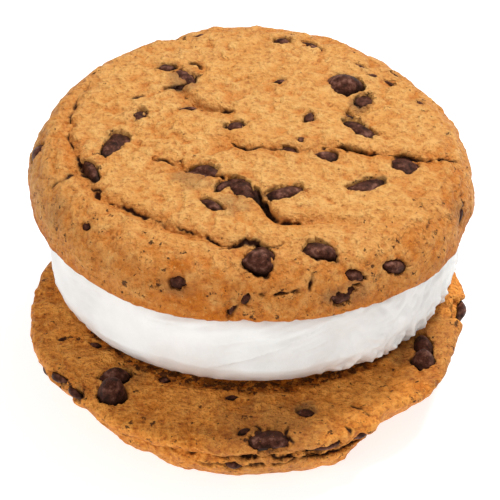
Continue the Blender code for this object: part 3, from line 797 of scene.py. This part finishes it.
def chip_field(chip, seat, points):
    """Which points are near the chip, and their distance from its edge, which is less than
    nothing inside it."""
    away = points - np.array(seat.point)
    near = np.linalg.norm(away, axis=1) < chip.length / 2 + CHIP_REACH
    away = away[near]
    u = away @ np.array(seat.along)
    v = away @ np.array(seat.across)
    along_share = 2 * u / chip.length
    across_share = 2 * v / chip.width - chip.bend * (along_share ** 2 - BEND_LEVEL)
    across_share /= np.maximum(taper_at(chip, along_share), 0.1)
    rho = np.abs(along_share) ** chip.boxy + np.abs(across_share) ** chip.boxy
    rho = np.maximum(rho, 1e-4) ** (1 / chip.boxy)
    distance = np.hypot(u, v) * (1 - 1 / rho)
    for turn, reach in seat.cuts if chip.boxy < CLEAN_BAR else ():
        edge = reach * math.hypot(chip.length * math.cos(turn), chip.width * math.sin(turn)) / 2
        distance = np.maximum(distance, u * math.cos(turn) + v * math.sin(turn) - edge)
    distance = np.maximum(distance, -(away @ np.array(seat.out)) - CHIP_FALL)
    return near, np.maximum(distance, -chip.width / 2)


def near_line(points, line, reach):
    """Which of the points are in the line's box, widened by the reach."""
    low = np.min(line, axis=0) - reach
    high = np.max(line, axis=0) + reach
    return np.all((points[:, :2] > low) & (points[:, :2] < high), axis=1)


# The finer detail of one cookie's dough
Detail = namedtuple("Detail", "chips smears cracks breaks seed")


def cut_finer(form, seats, detail):
    """Cuts the long edges shorter near the chips, the cracks and the breaks."""
    for length in FINE_LENGTHS:
        form.edges.ensure_lookup_table()
        middles = np.array([(e.verts[0].co + e.verts[1].co) / 2 for e in form.edges])
        lengths = np.array([e.calc_length() for e in form.edges])
        wanted = np.full(len(middles), np.inf)
        reach = FINE_REACH * length + FINE_MARGIN
        for chip, seat in zip(detail.chips, seats):
            near, distance = chip_field(chip, seat, middles)
            wanted[near] = np.where(np.abs(distance) < reach, length, wanted[near])
        for crack in detail.cracks:
            near = np.flatnonzero(near_line(middles, crack.line, reach))
            signed, _ = line_field(crack.line, middles[near, 0], middles[near, 1])
            wanted[near[np.abs(signed) < reach]] = length
        outer = angle_and_radius(middles)[1] > BREAK_RADII[1]
        for side_break in detail.breaks:
            away, _ = break_field(middles, side_break)
            wanted[(away < reach + FINE_MARGIN) & outer] = length
        chosen = [form.edges[i] for i in np.flatnonzero(lengths > CUT_ABOVE * wanted)]
        bmesh.ops.subdivide_edges(form, edges=chosen, cuts=1, use_grid_fill=True)
        bmesh.ops.triangulate(form, faces=[f for f in form.faces if len(f.verts) > 4])


# How cracks wander sideways, where they close up, and how ragged they are, at each point
Wander = namedtuple("Wander", "x y closed ragged")
# The dough's points, the way they face, and the unevenness that its details share
Ground = namedtuple("Ground", "points facing broad ragged torn wander")
# What the details do at each point: how far it moves out, and the tones that its colours need
# The crack tone is painted shade, darkening cracks, breaks and the gaps beside chips
Relief = namedtuple("Relief", "push crack smear specks")


def crack_field(points, crack, wander):
    """How open a crack is near each point."""
    span_of_line = sum(math.dist(a, b) for a, b in zip(crack.line, crack.line[1:]))
    amount = 0.3 + 0.7 * min(1.0, span_of_line / LONG_CRACK)
    x = points[:, 0] + amount * wander.x
    y = points[:, 1] + amount * wander.y
    signed, along = line_field(crack.line, x, y)
    open_share = smooth_steps(crack.gaps - 0.35, crack.gaps + 0.25, wander.closed + 0.35)
    open_share *= faded(along)
    width = crack.width * (0.55 + 0.75 * open_share)
    return open_share / (1 + ((signed + wander.ragged) / width) ** 4)


def break_field(points, side_break, shift=0.0):
    """Distance of each point from a break, on the side rolled out flat, and the share along it."""
    around = COOKIE_RADIUS * angle_and_radius(points)[0]
    start = COOKIE_RADIUS * side_break.first
    way = (COOKIE_RADIUS * side_break.last - start, side_break.end - side_break.start)
    height = points[:, 2] + shift - side_break.start
    share = (around - start) * way[0] + height * way[1]
    share = np.clip(share / (way[0] ** 2 + way[1] ** 2), 0.0, 1.0)
    return np.hypot(around - start - share * way[0], height - share * way[1]), share


def studied(form, seed):
    points = positions(form)
    broad = bumps(points, SOCKET_RAGGED[1], seed + 30)
    ragged = SOCKET_RAGGED[0] * broad + lumps(points, SOCKET_FINE_RAGGED, seed + 31)
    torn = bumps(points, DOUGH_OVER_CHIP_SIZE, seed + 37)
    wander = Wander(
        lumps(points, WANDER[0], seed + 32) + lumps(points, WANDER[1], seed + 33),
        lumps(points, WANDER[0], seed + 34) + lumps(points, WANDER[1], seed + 35),
        bumps(points, CLOSED_SIZE, seed + 36),
        lumps(points, CRACK_RAGGED, seed + 38),
    )
    return Ground(points, normals(form), broad, ragged, torn, wander)


def raise_to(values, least, near=slice(None)):
    values[near] = np.maximum(values[near], least)


def open_socket(ground, relief, chip, seat):
    """Sinks a chip's ragged socket, with a gap on one side of it and a lip on the other."""
    near, distance = chip_field(chip, seat, ground.points)
    broad = ground.broad[near]
    share = min(1.0, chip.width / FULL_WIDTH)
    distance = distance + ground.ragged[near] * share
    if chip.broken:
        bare = 0.30 - 0.55 * chip.broken
        distance = distance + DOUGH_OVER_CHIP * smooth_steps(bare, bare + 0.20, ground.torn[near])
    inside = 1 - smooth_steps(SOCKET_WALL[1], SOCKET_WALL[0], distance)
    away = ground.points[near] - np.array(seat.point)
    gap_side = away @ seat.gap_way / np.maximum(np.linalg.norm(away, axis=1), TINY)
    gap_side = smooth_steps(*GAP_SIDE, gap_side + 0.6 * broad)
    gap = bell(distance - GAP_PLACE, GAP_WIDTH) * (0.15 + 0.85 * gap_side)
    lip = bell(distance - LIP_PLACE, LIP_WIDTH) * (0.5 + broad)
    edge = (LIP_HEIGHT * lip * (1 - gap_side) - GAP_DEPTH * gap * gap_side) * share
    push = (relief.push[near] + edge) * (1 - inside)
    relief.push[near] = push - SOCKET_DEPTH * inside * share
    stain = np.exp(-np.maximum(distance, 0.0) / STAIN_REACH)
    # The gap beside the chip is darkened with the crack tone: painted shadow in it
    raise_to(relief.crack, 0.95 * gap * share, near)
    raise_to(relief.smear, STAIN_TONE * stain * (0.3 + 0.7 * broad), near)
    raise_to(relief.specks, 0.8 * stain * smooth_steps(-0.2, 0.3, broad), near)


def open_crack(ground, relief, crack):
    near = np.flatnonzero(near_line(ground.points, crack.line, CRACK_REACH))
    wander = Wander(*[way[near] for way in ground.wander])
    opened = crack_field(ground.points[near], crack, wander)
    opened *= smooth_steps(*CRACK_FACING, ground.facing[near, 2])
    relief.push[near] -= crack.depth * opened
    # The crack is painted dark: painted shade inside it
    raise_to(relief.crack, np.minimum(1.6 * opened, 1.0), near)
    raise_to(relief.specks, 0.6 * opened ** 0.3, near)


def open_side(ground, relief, breaks):
    """Opens the thin breaks in the side, with the same wandering as the cracks."""
    opened = np.zeros(len(ground.points))
    shift = ground.wander.x + 2 * ground.wander.ragged
    open_share = smooth_steps(*BREAK_OPEN, ground.wander.closed)
    for side_break in breaks:
        away, share = break_field(ground.points, side_break, shift)
        reach = faded(share) * open_share
        opened = np.maximum(opened, reach / (1 + (away / side_break.width) ** 4))
    opened *= smooth_steps(*BREAK_RADII, angle_and_radius(ground.points)[1])
    opened *= smooth_steps(*BREAK_FACING, np.abs(ground.facing[:, 2]))
    relief.push[:] -= BREAK_DEPTH * opened
    # The breaks are painted dark too: painted shade inside them
    raise_to(relief.crack, np.minimum(1.4 * opened, 1.0))


def stain_dough(ground, relief, surface, smear):
    point = np.array(surface.find_nearest((smear.x, smear.y, smear.z))[0])
    away = np.linalg.norm(ground.points - point, axis=1) / smear.radius
    patch = smear.strength * (1 - smooth_steps(0.4, 1.1, away + 0.5 * ground.broad))
    raise_to(relief.smear, patch)


def crumbled(ground, relief, seed):
    """Adds crumb, wrinkles and pores all over. Returns how low each point lies in it, for painted
    shade.
    """
    points = ground.points
    on_top = smooth_steps(0.3, 0.8, ground.facing[:, 2])
    crumb = sum(lumps(points, size, seed + 40 + i) for i, size in enumerate(CRUMB))
    patches = bumps(points, CRUMB_PATCHES, seed + 47)
    crumb *= (0.55 + 0.65 * smooth_steps(-0.3, 0.3, patches)) * (0.85 + 0.05 * on_top)
    swelling = bumps(points, SWELLING_SIZES[0], seed + 44)
    swelling = np.abs(swelling + 0.25 * bumps(points, SWELLING_SIZES[1], seed + 45))
    wrinkle = smooth_steps(-0.1, 0.35, bumps(points, WRINKLE_PATCHES, seed + 46))
    wrinkle *= bell(swelling, WRINKLE_WIDTH)
    height = SWELLING_HEIGHTS[0] + SWELLING_HEIGHTS[1] * on_top
    crumb += height * np.minimum(swelling, SWELLING_FULL) / SWELLING_FULL
    crumb -= WRINKLE_DEPTH * wrinkle
    pores = smooth_steps(*PORE_EDGE, bumps(points, PORE_SIZE, seed + 43))
    relief.push[:] += crumb - PORE_DEPTH * pores
    return smooth_steps(*HOLLOW_SHADE_CRUMB, crumb)


def detailed_dough(form, surface, detail):
    """Breaks the dough up: chip sockets, cracks, pores and crumb. Returns the tones that its
    colours need and the chips' seats."""
    draw = random.Random(detail.seed)
    seats = [chip_seat(chip, surface, draw) for chip in detail.chips]
    cut_finer(form, seats, detail)
    ground = studied(form, detail.seed)
    relief = Relief(*np.zeros((len(Relief._fields), len(ground.points))))
    _, radius = angle_and_radius(ground.points)
    relief.specks[:] = RIM_SPECK_TONE * smooth_steps(*RIM_SPECKS, radius)
    for chip, seat in zip(detail.chips, seats):
        open_socket(ground, relief, chip, seat)
    for crack in detail.cracks:
        open_crack(ground, relief, crack)
    open_side(ground, relief, detail.breaks)
    for smear in detail.smears:
        stain_dough(ground, relief, surface, smear)
    low = crumbled(ground, relief, detail.seed)
    move_to(form, ground.points + ground.facing * relief.push[:, None])
    smeared = np.clip(relief.smear, 0.0, 1.0)
    tones = {"crack": relief.crack, "smear": smeared, "specks": relief.specks, "low": low}
    return tones, seats


def lump_point(ball, chip, seat, surface, facets, shift):
    """Where a point of a ball comes to lie on a chip, and how much painted shade darkens its edge
    there.
    """
    x, y, z = ball
    share = min(1.0, chip.width / FULL_WIDTH)
    margin = CHIP_MARGIN * share
    thick = min(chip.width / 2, CHIP_THICKNESS)
    half = (chip.length / 2, chip.width / 2)
    flat = (abs(x) ** chip.boxy + abs(y) ** chip.boxy) ** (1 / chip.boxy)
    squared = math.hypot(x, y) / flat if flat > TINY else 1.0
    u = x * squared * (1 + margin / half[0])
    v = y * squared * (1 + margin / half[1])
    rho = math.hypot(x, y) * (1 + margin / half[1])
    dome = 2 + DOME_GROWTH * max(chip.proud - DOME_FROM, 0)
    top = chip.proud - (chip.proud + CHIP_EDGE_DROP * share) * rho ** dome
    for way, slope, start in facets:
        over = x * math.cos(way) + y * math.sin(way) - start
        top = min(top, chip.proud - slope * share * over)
    if z > 0:
        height = -thick + (top + thick) * (1 - (1 - z) ** CHIP_SHOULDER_POWER)
    else:
        height = -thick * (1 - CHIP_UNDER_SHARE * z)
    v = v * taper_at(chip, u) + chip.bend * (u * u - BEND_LEVEL)
    place = Vector((u * half[0], v * half[1], 0.0))
    rough = CHIP_ROUGH[0] * noise.noise(place / CHIP_ROUGH[1] + shift)
    ridge = CHIP_RIDGES[0] * abs(noise.noise(place / CHIP_RIDGES[1] - shift))
    height += (rough - ridge) * share
    away = seat.along * place.x + seat.across * place.y
    near, facing, _, _ = surface.find_nearest(seat.point + away)
    gap_side = away.dot(seat.gap_way) / max(away.length, TINY)
    # Painted shade: the chip darkens towards its outline, most on the side of its gap in the dough
    edge = smooth_steps(0.70, 1.0, rho) * (0.25 + 0.75 * smooth_steps(*GAP_SIDE, gap_side))
    return near + (seat.out if height > 0 else facing) * height, float(edge)


def chip_lumps(chips, seats, surface, seed):
    """The chips themselves, each an uneven lump a little larger than the patch that it shows."""
    draw = random.Random(seed)
    form = bmesh.new()
    edges = []
    for chip, seat in zip(chips, seats):
        ball = bmesh.ops.create_icosphere(form, subdivisions=4, radius=1.0)["verts"]
        shift = Vector([draw.uniform(0, 40) for _ in range(3)])
        facets = [
            (draw.uniform(0, 2 * math.pi), draw.uniform(*FACET_SLOPES), draw.uniform(*FACET_STARTS))
            for _ in range(FACETS)
        ]
        for vert in ball:
            vert.co, edge = lump_point(vert.co, chip, seat, surface, facets, shift)
            edges.append(edge)
    bmesh.ops.recalc_face_normals(form, faces=form.faces)
    return form, {"edge": edges}


def srgb(text):
    """A colour in the renderer's linear values, from its hex number."""
    values = [int(text[i:i + 2], 16) / 255 for i in (1, 3, 5)]
    return (*[v / 12.92 if v <= 0.04045 else ((v + 0.055) / 1.055) ** 2.4 for v in values], 1.0)


def placed(name, data):
    """A new object in the scene."""
    placed_one = bpy.data.objects.new(name, data)
    bpy.context.scene.collection.objects.link(placed_one)
    return placed_one


def finished(name, form, material, place, tones=None):
    """The form as a piece in its place, with its vertices in the shared frame."""
    bmesh.ops.triangulate(form, faces=form.faces)
    form.transform(place)
    mesh = bpy.data.meshes.new(name)
    form.to_mesh(mesh)
    form.free()
    for key, values in (tones or {}).items():
        mesh.attributes.new(key, "FLOAT", "POINT").data.foreach_set("value", values)
    mesh.shade_smooth()
    mesh.materials.append(material)
    piece = placed(name, mesh)
    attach(piece, "root")
    print(name, len(mesh.polygons), "triangles")
    return piece


def new_material(name):
    material = bpy.data.materials.new(name)
    material.use_nodes = True
    tree = material.node_tree
    return material, tree, tree.nodes["Principled BSDF"]


def connect(tree, node, inputs):
    """Sets a node's inputs, each to a number, a hex colour or another node's output."""
    for socket, value in inputs.items():
        if isinstance(value, bpy.types.NodeSocket):
            tree.links.new(value, node.inputs[socket])
        else:
            node.inputs[socket].default_value = srgb(value) if isinstance(value, str) else value


def add(tree, kind, inputs, output=0, stops=(), **settings):
    """Adds a node with its settings, colour stops and inputs, and gives one of its outputs."""
    node = tree.nodes.new("ShaderNode" + kind)
    for name, setting in settings.items():
        setattr(node, name, setting)
    elements = node.color_ramp.elements if stops else ()
    while len(elements) < len(stops):
        elements.new(0.5)
    for element, (place, colour) in zip(elements, stops):
        element.position = place
        element.color = srgb(colour)
    connect(tree, node, inputs)
    return node.outputs[output]


def mottling(tree, size, detail, roughness, shift=0.0):
    """Patches of about the size in mm across, from 0 to 1, the same wherever the piece goes."""
    where = add(tree, "TexCoord", {}, "Object")
    moved = add(tree, "Mapping", {"Vector": where, "Location": (shift, shift, shift)})
    settings = {"Scale": 1 / (size * MM), "Detail": detail, "Roughness": roughness}
    return add(tree, "TexNoise", {"Vector": moved, **settings}, "Fac")


def hair_cracks(tree, lines, patches, craze):
    """Fine lines where a pattern passes its middle, open in patches of the crazed crust."""
    off = add(tree, "Math", {0: lines, 1: 0.5}, operation="SUBTRACT")
    off = add(tree, "Math", {0: off}, operation="ABSOLUTE")
    line_span = {"Value": off, "From Min": 0.0, "From Max": 0.011, "To Min": 1.0, "To Max": 0.0}
    hair = add(tree, "MapRange", line_span, **EASED)
    open_span = {"Value": patches, "From Min": 0.52, "From Max": 0.62}
    open_here = add(tree, "MapRange", open_span, **EASED)
    for share in (open_here, craze, 0.5):
        hair = add(tree, "Math", {0: hair, 1: share}, operation="MULTIPLY")
    return hair


def dough(name, light, middle, brown, crumb_and_glint_amount, shift):
    """Baked dough: a matte crust mottled pale to browned, with painted shade in cracks, pores and
    hollows.
    """
    material, tree, shader = new_material(name)
    broad, mottle, grain, lines, patches, spots = [
        mottling(tree, *pattern, shift + i / 10) for i, pattern in enumerate(DOUGH_PATTERNS)
    ]
    tones = {
        tone: add(tree, "Attribute", {}, "Fac", attribute_name=tone) for tone in DOUGH_TONES
    }
    hair = hair_cracks(tree, lines, patches, tones["craze"])
    specks = add(tree, "Math", {0: tones["specks"], 1: 0.16}, operation="MULTIPLY")
    specks = add(tree, "Math", {0: spots, 1: specks}, operation="ADD")
    pore_span = {"Value": specks, "From Min": 0.70, "From Max": 0.74}
    pores = add(tree, "MapRange", pore_span, **EASED)
    # Pale crumbs on the highest grains, lightened as painted highlights as well
    crumb_glint_span = {"Value": grain, "From Min": 0.56, "From Max": 0.72, "To Max": crumb_and_glint_amount}
    pale_crumbs_and_glints = add(tree, "MapRange", crumb_glint_span, **EASED)
    # Painted shade: the crumb's low points are darkened towards orange-brown
    low = add(tree, "Math", {0: tones["low"], 1: 0.56}, operation="MULTIPLY")
    # Painted shade: the pores, hair cracks and the crack tone darken the crust to near black
    dark = add(tree, "Math", {0: pores, 1: 0.85}, operation="MULTIPLY")
    for deep in (hair, tones["crack"]):
        dark = add(tree, "Math", {0: dark, 1: deep}, operation="MAXIMUM")
    mottled = ((0.36, brown), (0.50, middle), (0.64, light))
    crust = add(tree, "ValToRGB", {"Fac": mottle}, stops=mottled)
    wide = add(tree, "ValToRGB", {"Fac": broad}, stops=((0.35, middle), (0.60, light)))
    speckled = ((0.30, "#A65E20"), (0.50, "#FFFFFF"))
    speckle = add(tree, "ValToRGB", {"Fac": grain}, stops=speckled)
    layers = (
        (0.45, wide, "MIX"),
        (low, "#BE681A", "MIX"),
        (tones["brown"], "#BE6814", "MIX"),
        (0.30 + 0.45 * crumb_and_glint_amount, speckle, "MULTIPLY"),
        (pale_crumbs_and_glints, light, "MIX"),
        (tones["smear"], "#7A5636", "MIX"),
        (dark, "#341707", "MIX"),
    )
    for share, colour, how in layers:
        sockets = {0: share, 6: crust, 7: colour}
        crust = add(tree, "Mix", sockets, 2, data_type="RGBA", blend_type=how)
    sunk = add(tree, "Math", {0: hair, 1: pores}, operation="MAXIMUM")
    normal = add(tree, "Bump", {"Height": grain, "Strength": 0.9, "Distance": 0.44 * MM})
    large = {"Height": mottle, "Normal": normal, "Strength": 0.9, "Distance": 1.5 * MM}
    normal = add(tree, "Bump", large)
    broken = {"Height": sunk, "Normal": normal, "Strength": 0.8, "Distance": 0.3 * MM}
    normal = add(tree, "Bump", broken, invert=True)
    connect(tree, shader, {"Base Color": crust, "Normal": normal})
    connect(tree, shader, {"Roughness": 0.6, "Specular IOR Level": 0.15})
    return material


def chocolate():
    """Dark chocolate: satin, bloomed a little greyer where the oven warmed it."""
    material, tree, shader = new_material("dark_chocolate")
    bloom = mottling(tree, 1.33333, 5.0, 0.65)
    bloomed = ((0.36, "#20100B"), (0.52, "#4A291F"), (0.70, "#80584A"))
    colour = add(tree, "ValToRGB", {"Fac": bloom}, stops=bloomed)
    crumbs = mottling(tree, 1.11111, 3.0, 0.7, 0.3)
    dust_span = {"Value": crumbs, "From Min": 0.68, "From Max": 0.74, "To Max": 0.8}
    dust = add(tree, "MapRange", dust_span, **EASED)
    edge = add(tree, "Attribute", {}, "Fac", attribute_name="edge")
    # Pale crumbs of dough on the chips, then painted shade along each chip's edge
    for share, over in ((dust, "#B07A44"), (edge, "#120805")):
        colour = add(tree, "Mix", {0: share, 6: colour, 7: over}, 2, data_type="RGBA")
    rough = add(tree, "Bump", {"Height": bloom, "Strength": 0.6, "Distance": 0.4 * MM})
    connect(tree, shader, {"Base Color": colour, "Normal": rough, "Roughness": 0.5})
    connect(tree, shader, {"Specular IOR Level": 0.25, "Specular Tint": "#C08A70"})
    return material


def whipped_cream():
    """Whipped cream: white and softly glossy, light passes a little way through it."""
    material, tree, shader = new_material("whipped_cream")
    veil = mottling(tree, 8.3333, 3.0, 0.5)
    colour = add(tree, "ValToRGB", {"Fac": veil}, stops=((0.35, "#DEDCD8"), (0.65, "#E8E7E4")))
    fine = mottling(tree, 0.90909, 4.0, 0.6)
    rough = add(tree, "Bump", {"Height": fine, "Strength": 0.35, "Distance": 0.25 * MM})
    connect(tree, shader, {
        "Base Color": colour,
        "Normal": rough,
        "Roughness": 0.38,
        "Specular IOR Level": 0.4,
        "Subsurface Weight": 0.25,
        "Subsurface Radius": (1.0, 0.9, 0.8),
        "Subsurface Scale": 1.5 * MM,
    })
    return material


def browned(points, seed, amount, folds=()):
    """The rim is browned in patches and crazed with hair cracks, the middle little of either.
    The low side of a fold is darkened in the same brown, as painted shade."""
    _, radius = angle_and_radius(points)
    rim = smooth_steps(*BROWN_RADII, radius)
    patchy = 0.75 + sum(lumps(points, patch, seed + i) for i, patch in enumerate(BROWN_PATCHES))
    brown = amount * rim * patchy
    for fold in folds:
        signed, along = line_field(fold.line, points[:, 0], points[:, 1])
        # Painted shade on the low side of each fold
        low_side = bell(signed + FOLD_PAINTED_SHADE_PLACE, FOLD_PAINTED_SHADE_WIDTH)
        brown = np.maximum(brown, FOLD_PAINTED_SHADE * faded(along) * low_side)
    return {"brown": np.clip(brown, 0.0, 1.0), "craze": 0.25 + 0.75 * rim}


def make_top_cookie(dough_look, chip_look):
    form = uneven_cookie(TOP_SHAPE)
    chips = TOP_CHIPS + spare_chips(TOP_CHIPS, *TOP_SPARE_CHIPS)
    surface = BVHTree.FromBMesh(form)
    detail = Detail(chips, TOP_SMEARS, TOP_CRACKS, TOP_BREAKS, TOP_SEED)
    tones, seats = detailed_dough(form, surface, detail)
    points = positions(form)
    angle, _ = angle_and_radius(points)
    rim_brown = round_the_rim(angle, TOP_BROWN)
    tones.update(browned(points, TOP_BROWN_SEED, rim_brown, TOP_FOLDS))
    # Painted shade, in the brown tone, at the upper cookie's foot under its rim, where it meets the
    # cream
    foot = 1 - smooth_steps(*FOOT_PAINTED_SHADE_HEIGHTS, points[:, 2])
    raise_to(tones["brown"], FOOT_PAINTED_SHADE * foot)
    place = Matrix.Translation((*TOP_CENTRE, COOKIE_HEIGHT + CREAM_HEIGHT + 2 * GAP))
    place @= Matrix.Rotation(TOP_TILT, 4, "Y")
    cookie = finished("top_cookie_dough", form, dough_look, place, tones)
    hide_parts("top_cookie")
    form, edges = chip_lumps(chips, seats, surface, TOP_LUMP_SEED)
    finished("top_cookie_chips", form, chip_look, place, edges)


def darkened_by_cream(tones, points):
    """Paints shade in brown and dark patches, and specks, on the lower cookie along the cream's
    edge.
    """
    turn, reach = angle_and_radius(points - SPECK_CENTRE)
    along_cream = 1 - smooth_steps(*SPECK_REACH, np.abs(reach - SPECK_RADIUS))
    along_cream *= (turn > SPECK_ANGLES[0]) & (turn < SPECK_ANGLES[1])
    shaded = along_cream * smooth_steps(-0.1, 0.4, bumps(points, SHADE_SIZE, SHADE_SEED))
    raise_to(tones["brown"], CREAM_EDGE_PAINTED_SHADOW * along_cream)
    raise_to(tones["specks"], np.maximum(SPECK_TONES[0] * along_cream, SPECK_TONES[1]))
    raise_to(tones["crack"], CREAM_EDGE_SHADE * shaded)


def make_bottom_cookie(dough_look, chip_look):
    form = uneven_cookie(BOTTOM_SHAPE)
    side_crease(form)
    turned_over(form)
    chips = BOTTOM_CHIPS + spare_chips(BOTTOM_CHIPS, *BOTTOM_SPARE_CHIPS)
    chips = [chip._replace(z=COOKIE_HEIGHT - chip.z) for chip in chips]
    smears = [smear._replace(z=COOKIE_HEIGHT - smear.z) for smear in BOTTOM_SMEARS]
    surface = BVHTree.FromBMesh(form)
    detail = Detail(chips, smears, BOTTOM_CRACKS, BOTTOM_BREAKS, BOTTOM_SEED)
    tones, seats = detailed_dough(form, surface, detail)
    points = positions(form)
    points[:, 2] = np.maximum(points[:, 2], 0.0)
    move_to(form, points)
    tones.update(browned(points, BOTTOM_BROWN_SEED, BOTTOM_BROWN))
    darkened_by_cream(tones, points)
    place = Matrix.Translation((*BOTTOM_CENTRE, 0.0))
    cookie = finished("bottom_cookie_dough", form, dough_look, place, tones)
    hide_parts("bottom_cookie")
    form, edges = chip_lumps(chips, seats, surface, BOTTOM_LUMP_SEED)
    finished("bottom_cookie_chips", form, chip_look, place, edges)


def cream_swell(base, angle, torn):
    """How far the cream stands out: broad waves, the knife's sweeps, a fold and the torn side."""
    swell = waves_at(angle, CREAM_WAVES) + lumps(base, CREAM_LUMPS, CREAM_SEED)
    around = angle * CREAM_RADIUS
    sweep = (around / SWEEP_STRETCH, base[:, 2] - SWEEP_SLOPE * around, 0 * around)
    patchy = smooth_steps(-0.15, 0.35, bumps(base, SWEEP_PATCHES, CREAM_FINE_SEED))
    swell += patchy * lumps(np.stack(sweep, axis=1), SWEEPS, CREAM_FINE_SEED + 1)
    swell += lumps(base, CREAM_RIPPLES, CREAM_FINE_SEED + 2)
    fold_line = CREAM_FOLD_HEIGHT + (angle - CREAM_FOLD_ANGLE) * CREAM_FOLD_CLIMB
    above = base[:, 2] - fold_line
    fold = np.exp(-np.abs(above) / CREAM_FOLD_WIDTH) * np.where(above > 0, 1.0, 0.1)
    swell += CREAM_FOLD_DEPTH * between(CREAM_FOLD_ANGLES, angle) * fold
    return swell + torn * np.abs(lumps(base, TORN, CREAM_FINE_SEED + 4))


def ragged_edge(base, torn):
    """How far the cream's lower edge runs out over the cookie, most on the torn side."""
    flattened = base * (1.0, 1.0, 0.5)
    lobes = np.abs(lumps(flattened, EDGE_LOBES, CREAM_FINE_SEED + 3))
    lobes = EDGE_LEVEL - lobes + lumps(base, EDGE_CRUMBS, CREAM_FINE_SEED + 5)
    return between(EDGE_HEIGHTS, base[:, 2]) * (EDGE_DEPTHS[0] + EDGE_DEPTHS[1] * torn) * lobes


def make_cream(look):
    form = spun(cream_section(CREAM_STEP, CREAM_FLAT_STEP), CREAM_SPOKES)
    base = positions(form)
    angle, radius = angle_and_radius(base)
    rim = smooth_steps(CREAM_RADIUS - CREAM_RIM_DEPTH, CREAM_RADIUS, radius)
    free = rim * smooth_steps(0.0, CREAM_FOOT_RISE, base[:, 2])
    torn = between(TORN_ANGLES, angle)
    wide = radius + cream_swell(base, angle, torn) * free
    ragged = rim * ragged_edge(base, torn)
    climb = np.clip(base[:, 2] / CREAM_FOOT_RISE, 0.0, 1.0)
    out = (1 - (1 - climb) ** CREAM_FOOT_POWER) ** (1 / CREAM_FOOT_POWER)
    full = CREAM_CENTRE + steps_at(angle, wide)
    foot = CREAM_FOOT_CENTRE + steps_at(angle, radius / CREAM_RADIUS) * CREAM_FOOT_RADII
    base[:, :2] = foot + (full - foot) * out[:, None] + steps_at(angle, ragged)
    base[:, 2] -= math.tan(TOP_TILT) * base[:, 0] * base[:, 2] / CREAM_HEIGHT
    base[:, 2] = base[:, 2] * (1 + 2 * CREAM_TOUCH / CREAM_HEIGHT) - CREAM_TOUCH
    move_to(form, base)
    place = Matrix.Translation((0.0, 0.0, COOKIE_HEIGHT + GAP))
    cream = finished("cream_layer", form, look, place)
    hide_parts("cream_filling")


def turned_to(thing, place, aim):
    """Puts a lamp or the camera in its place, looking at the aim."""
    thing.location = place
    thing.rotation_euler = (Vector(aim) - Vector(place)).to_track_quat("-Z", "Y").to_euler()


def make_floor():
    form = bmesh.new()
    bmesh.ops.create_grid(form, x_segments=1, y_segments=1, size=FLOOR_SIZE)
    mesh = bpy.data.meshes.new("floor")
    form.to_mesh(mesh)
    form.free()
    material, tree, shader = new_material("white_table")
    connect(tree, shader, {
        "Base Color": "#BEBEBE",
        "Roughness": 0.9,
        "Emission Color": "#FFFFFF",
        "Emission Strength": 0.74,
    })
    mesh.materials.append(material)
    floor = placed("floor", mesh)


def make_lights():
    for name, place, size, power in LAMPS:
        lamp = bpy.data.lights.new(name, "AREA")
        lamp.shape = "DISK"
        lamp.size = size
        lamp.energy = power
        turned_to(placed(name, lamp), place, LAMP_AIM)
    world = bpy.data.worlds.new("studio")
    bpy.context.scene.world = world
    world.use_nodes = True
    glow = {"Color": "#FFFFFF", "Strength": 0.42}
    connect(world.node_tree, world.node_tree.nodes["Background"], glow)


def make_camera():
    camera = bpy.data.cameras.new("camera")
    camera.sensor_width = SENSOR
    camera.lens = SENSOR * DISTANCE / FIELD
    camera.clip_start = 0.1
    camera.clip_end = 10
    back = Vector((0.0, -math.cos(ELEVATION), math.sin(ELEVATION)))
    eye = placed("camera", camera)
    turned_to(eye, Vector(AIM) + back * DISTANCE, AIM)
    bpy.context.scene.camera = eye
    bpy.context.scene.view_settings.view_transform = "Standard"


chip_look = chocolate()
make_top_cookie(dough("golden_dough", "#DEAA64", "#D4964E", "#BC7632", 0.35, 0.0), chip_look)
make_bottom_cookie(dough("browned_dough", "#F8AE54", "#E89238", "#BE6A1C", 0.70, 0.5), chip_look)
make_cream(whipped_cream())
make_floor()
make_lights()
make_camera()
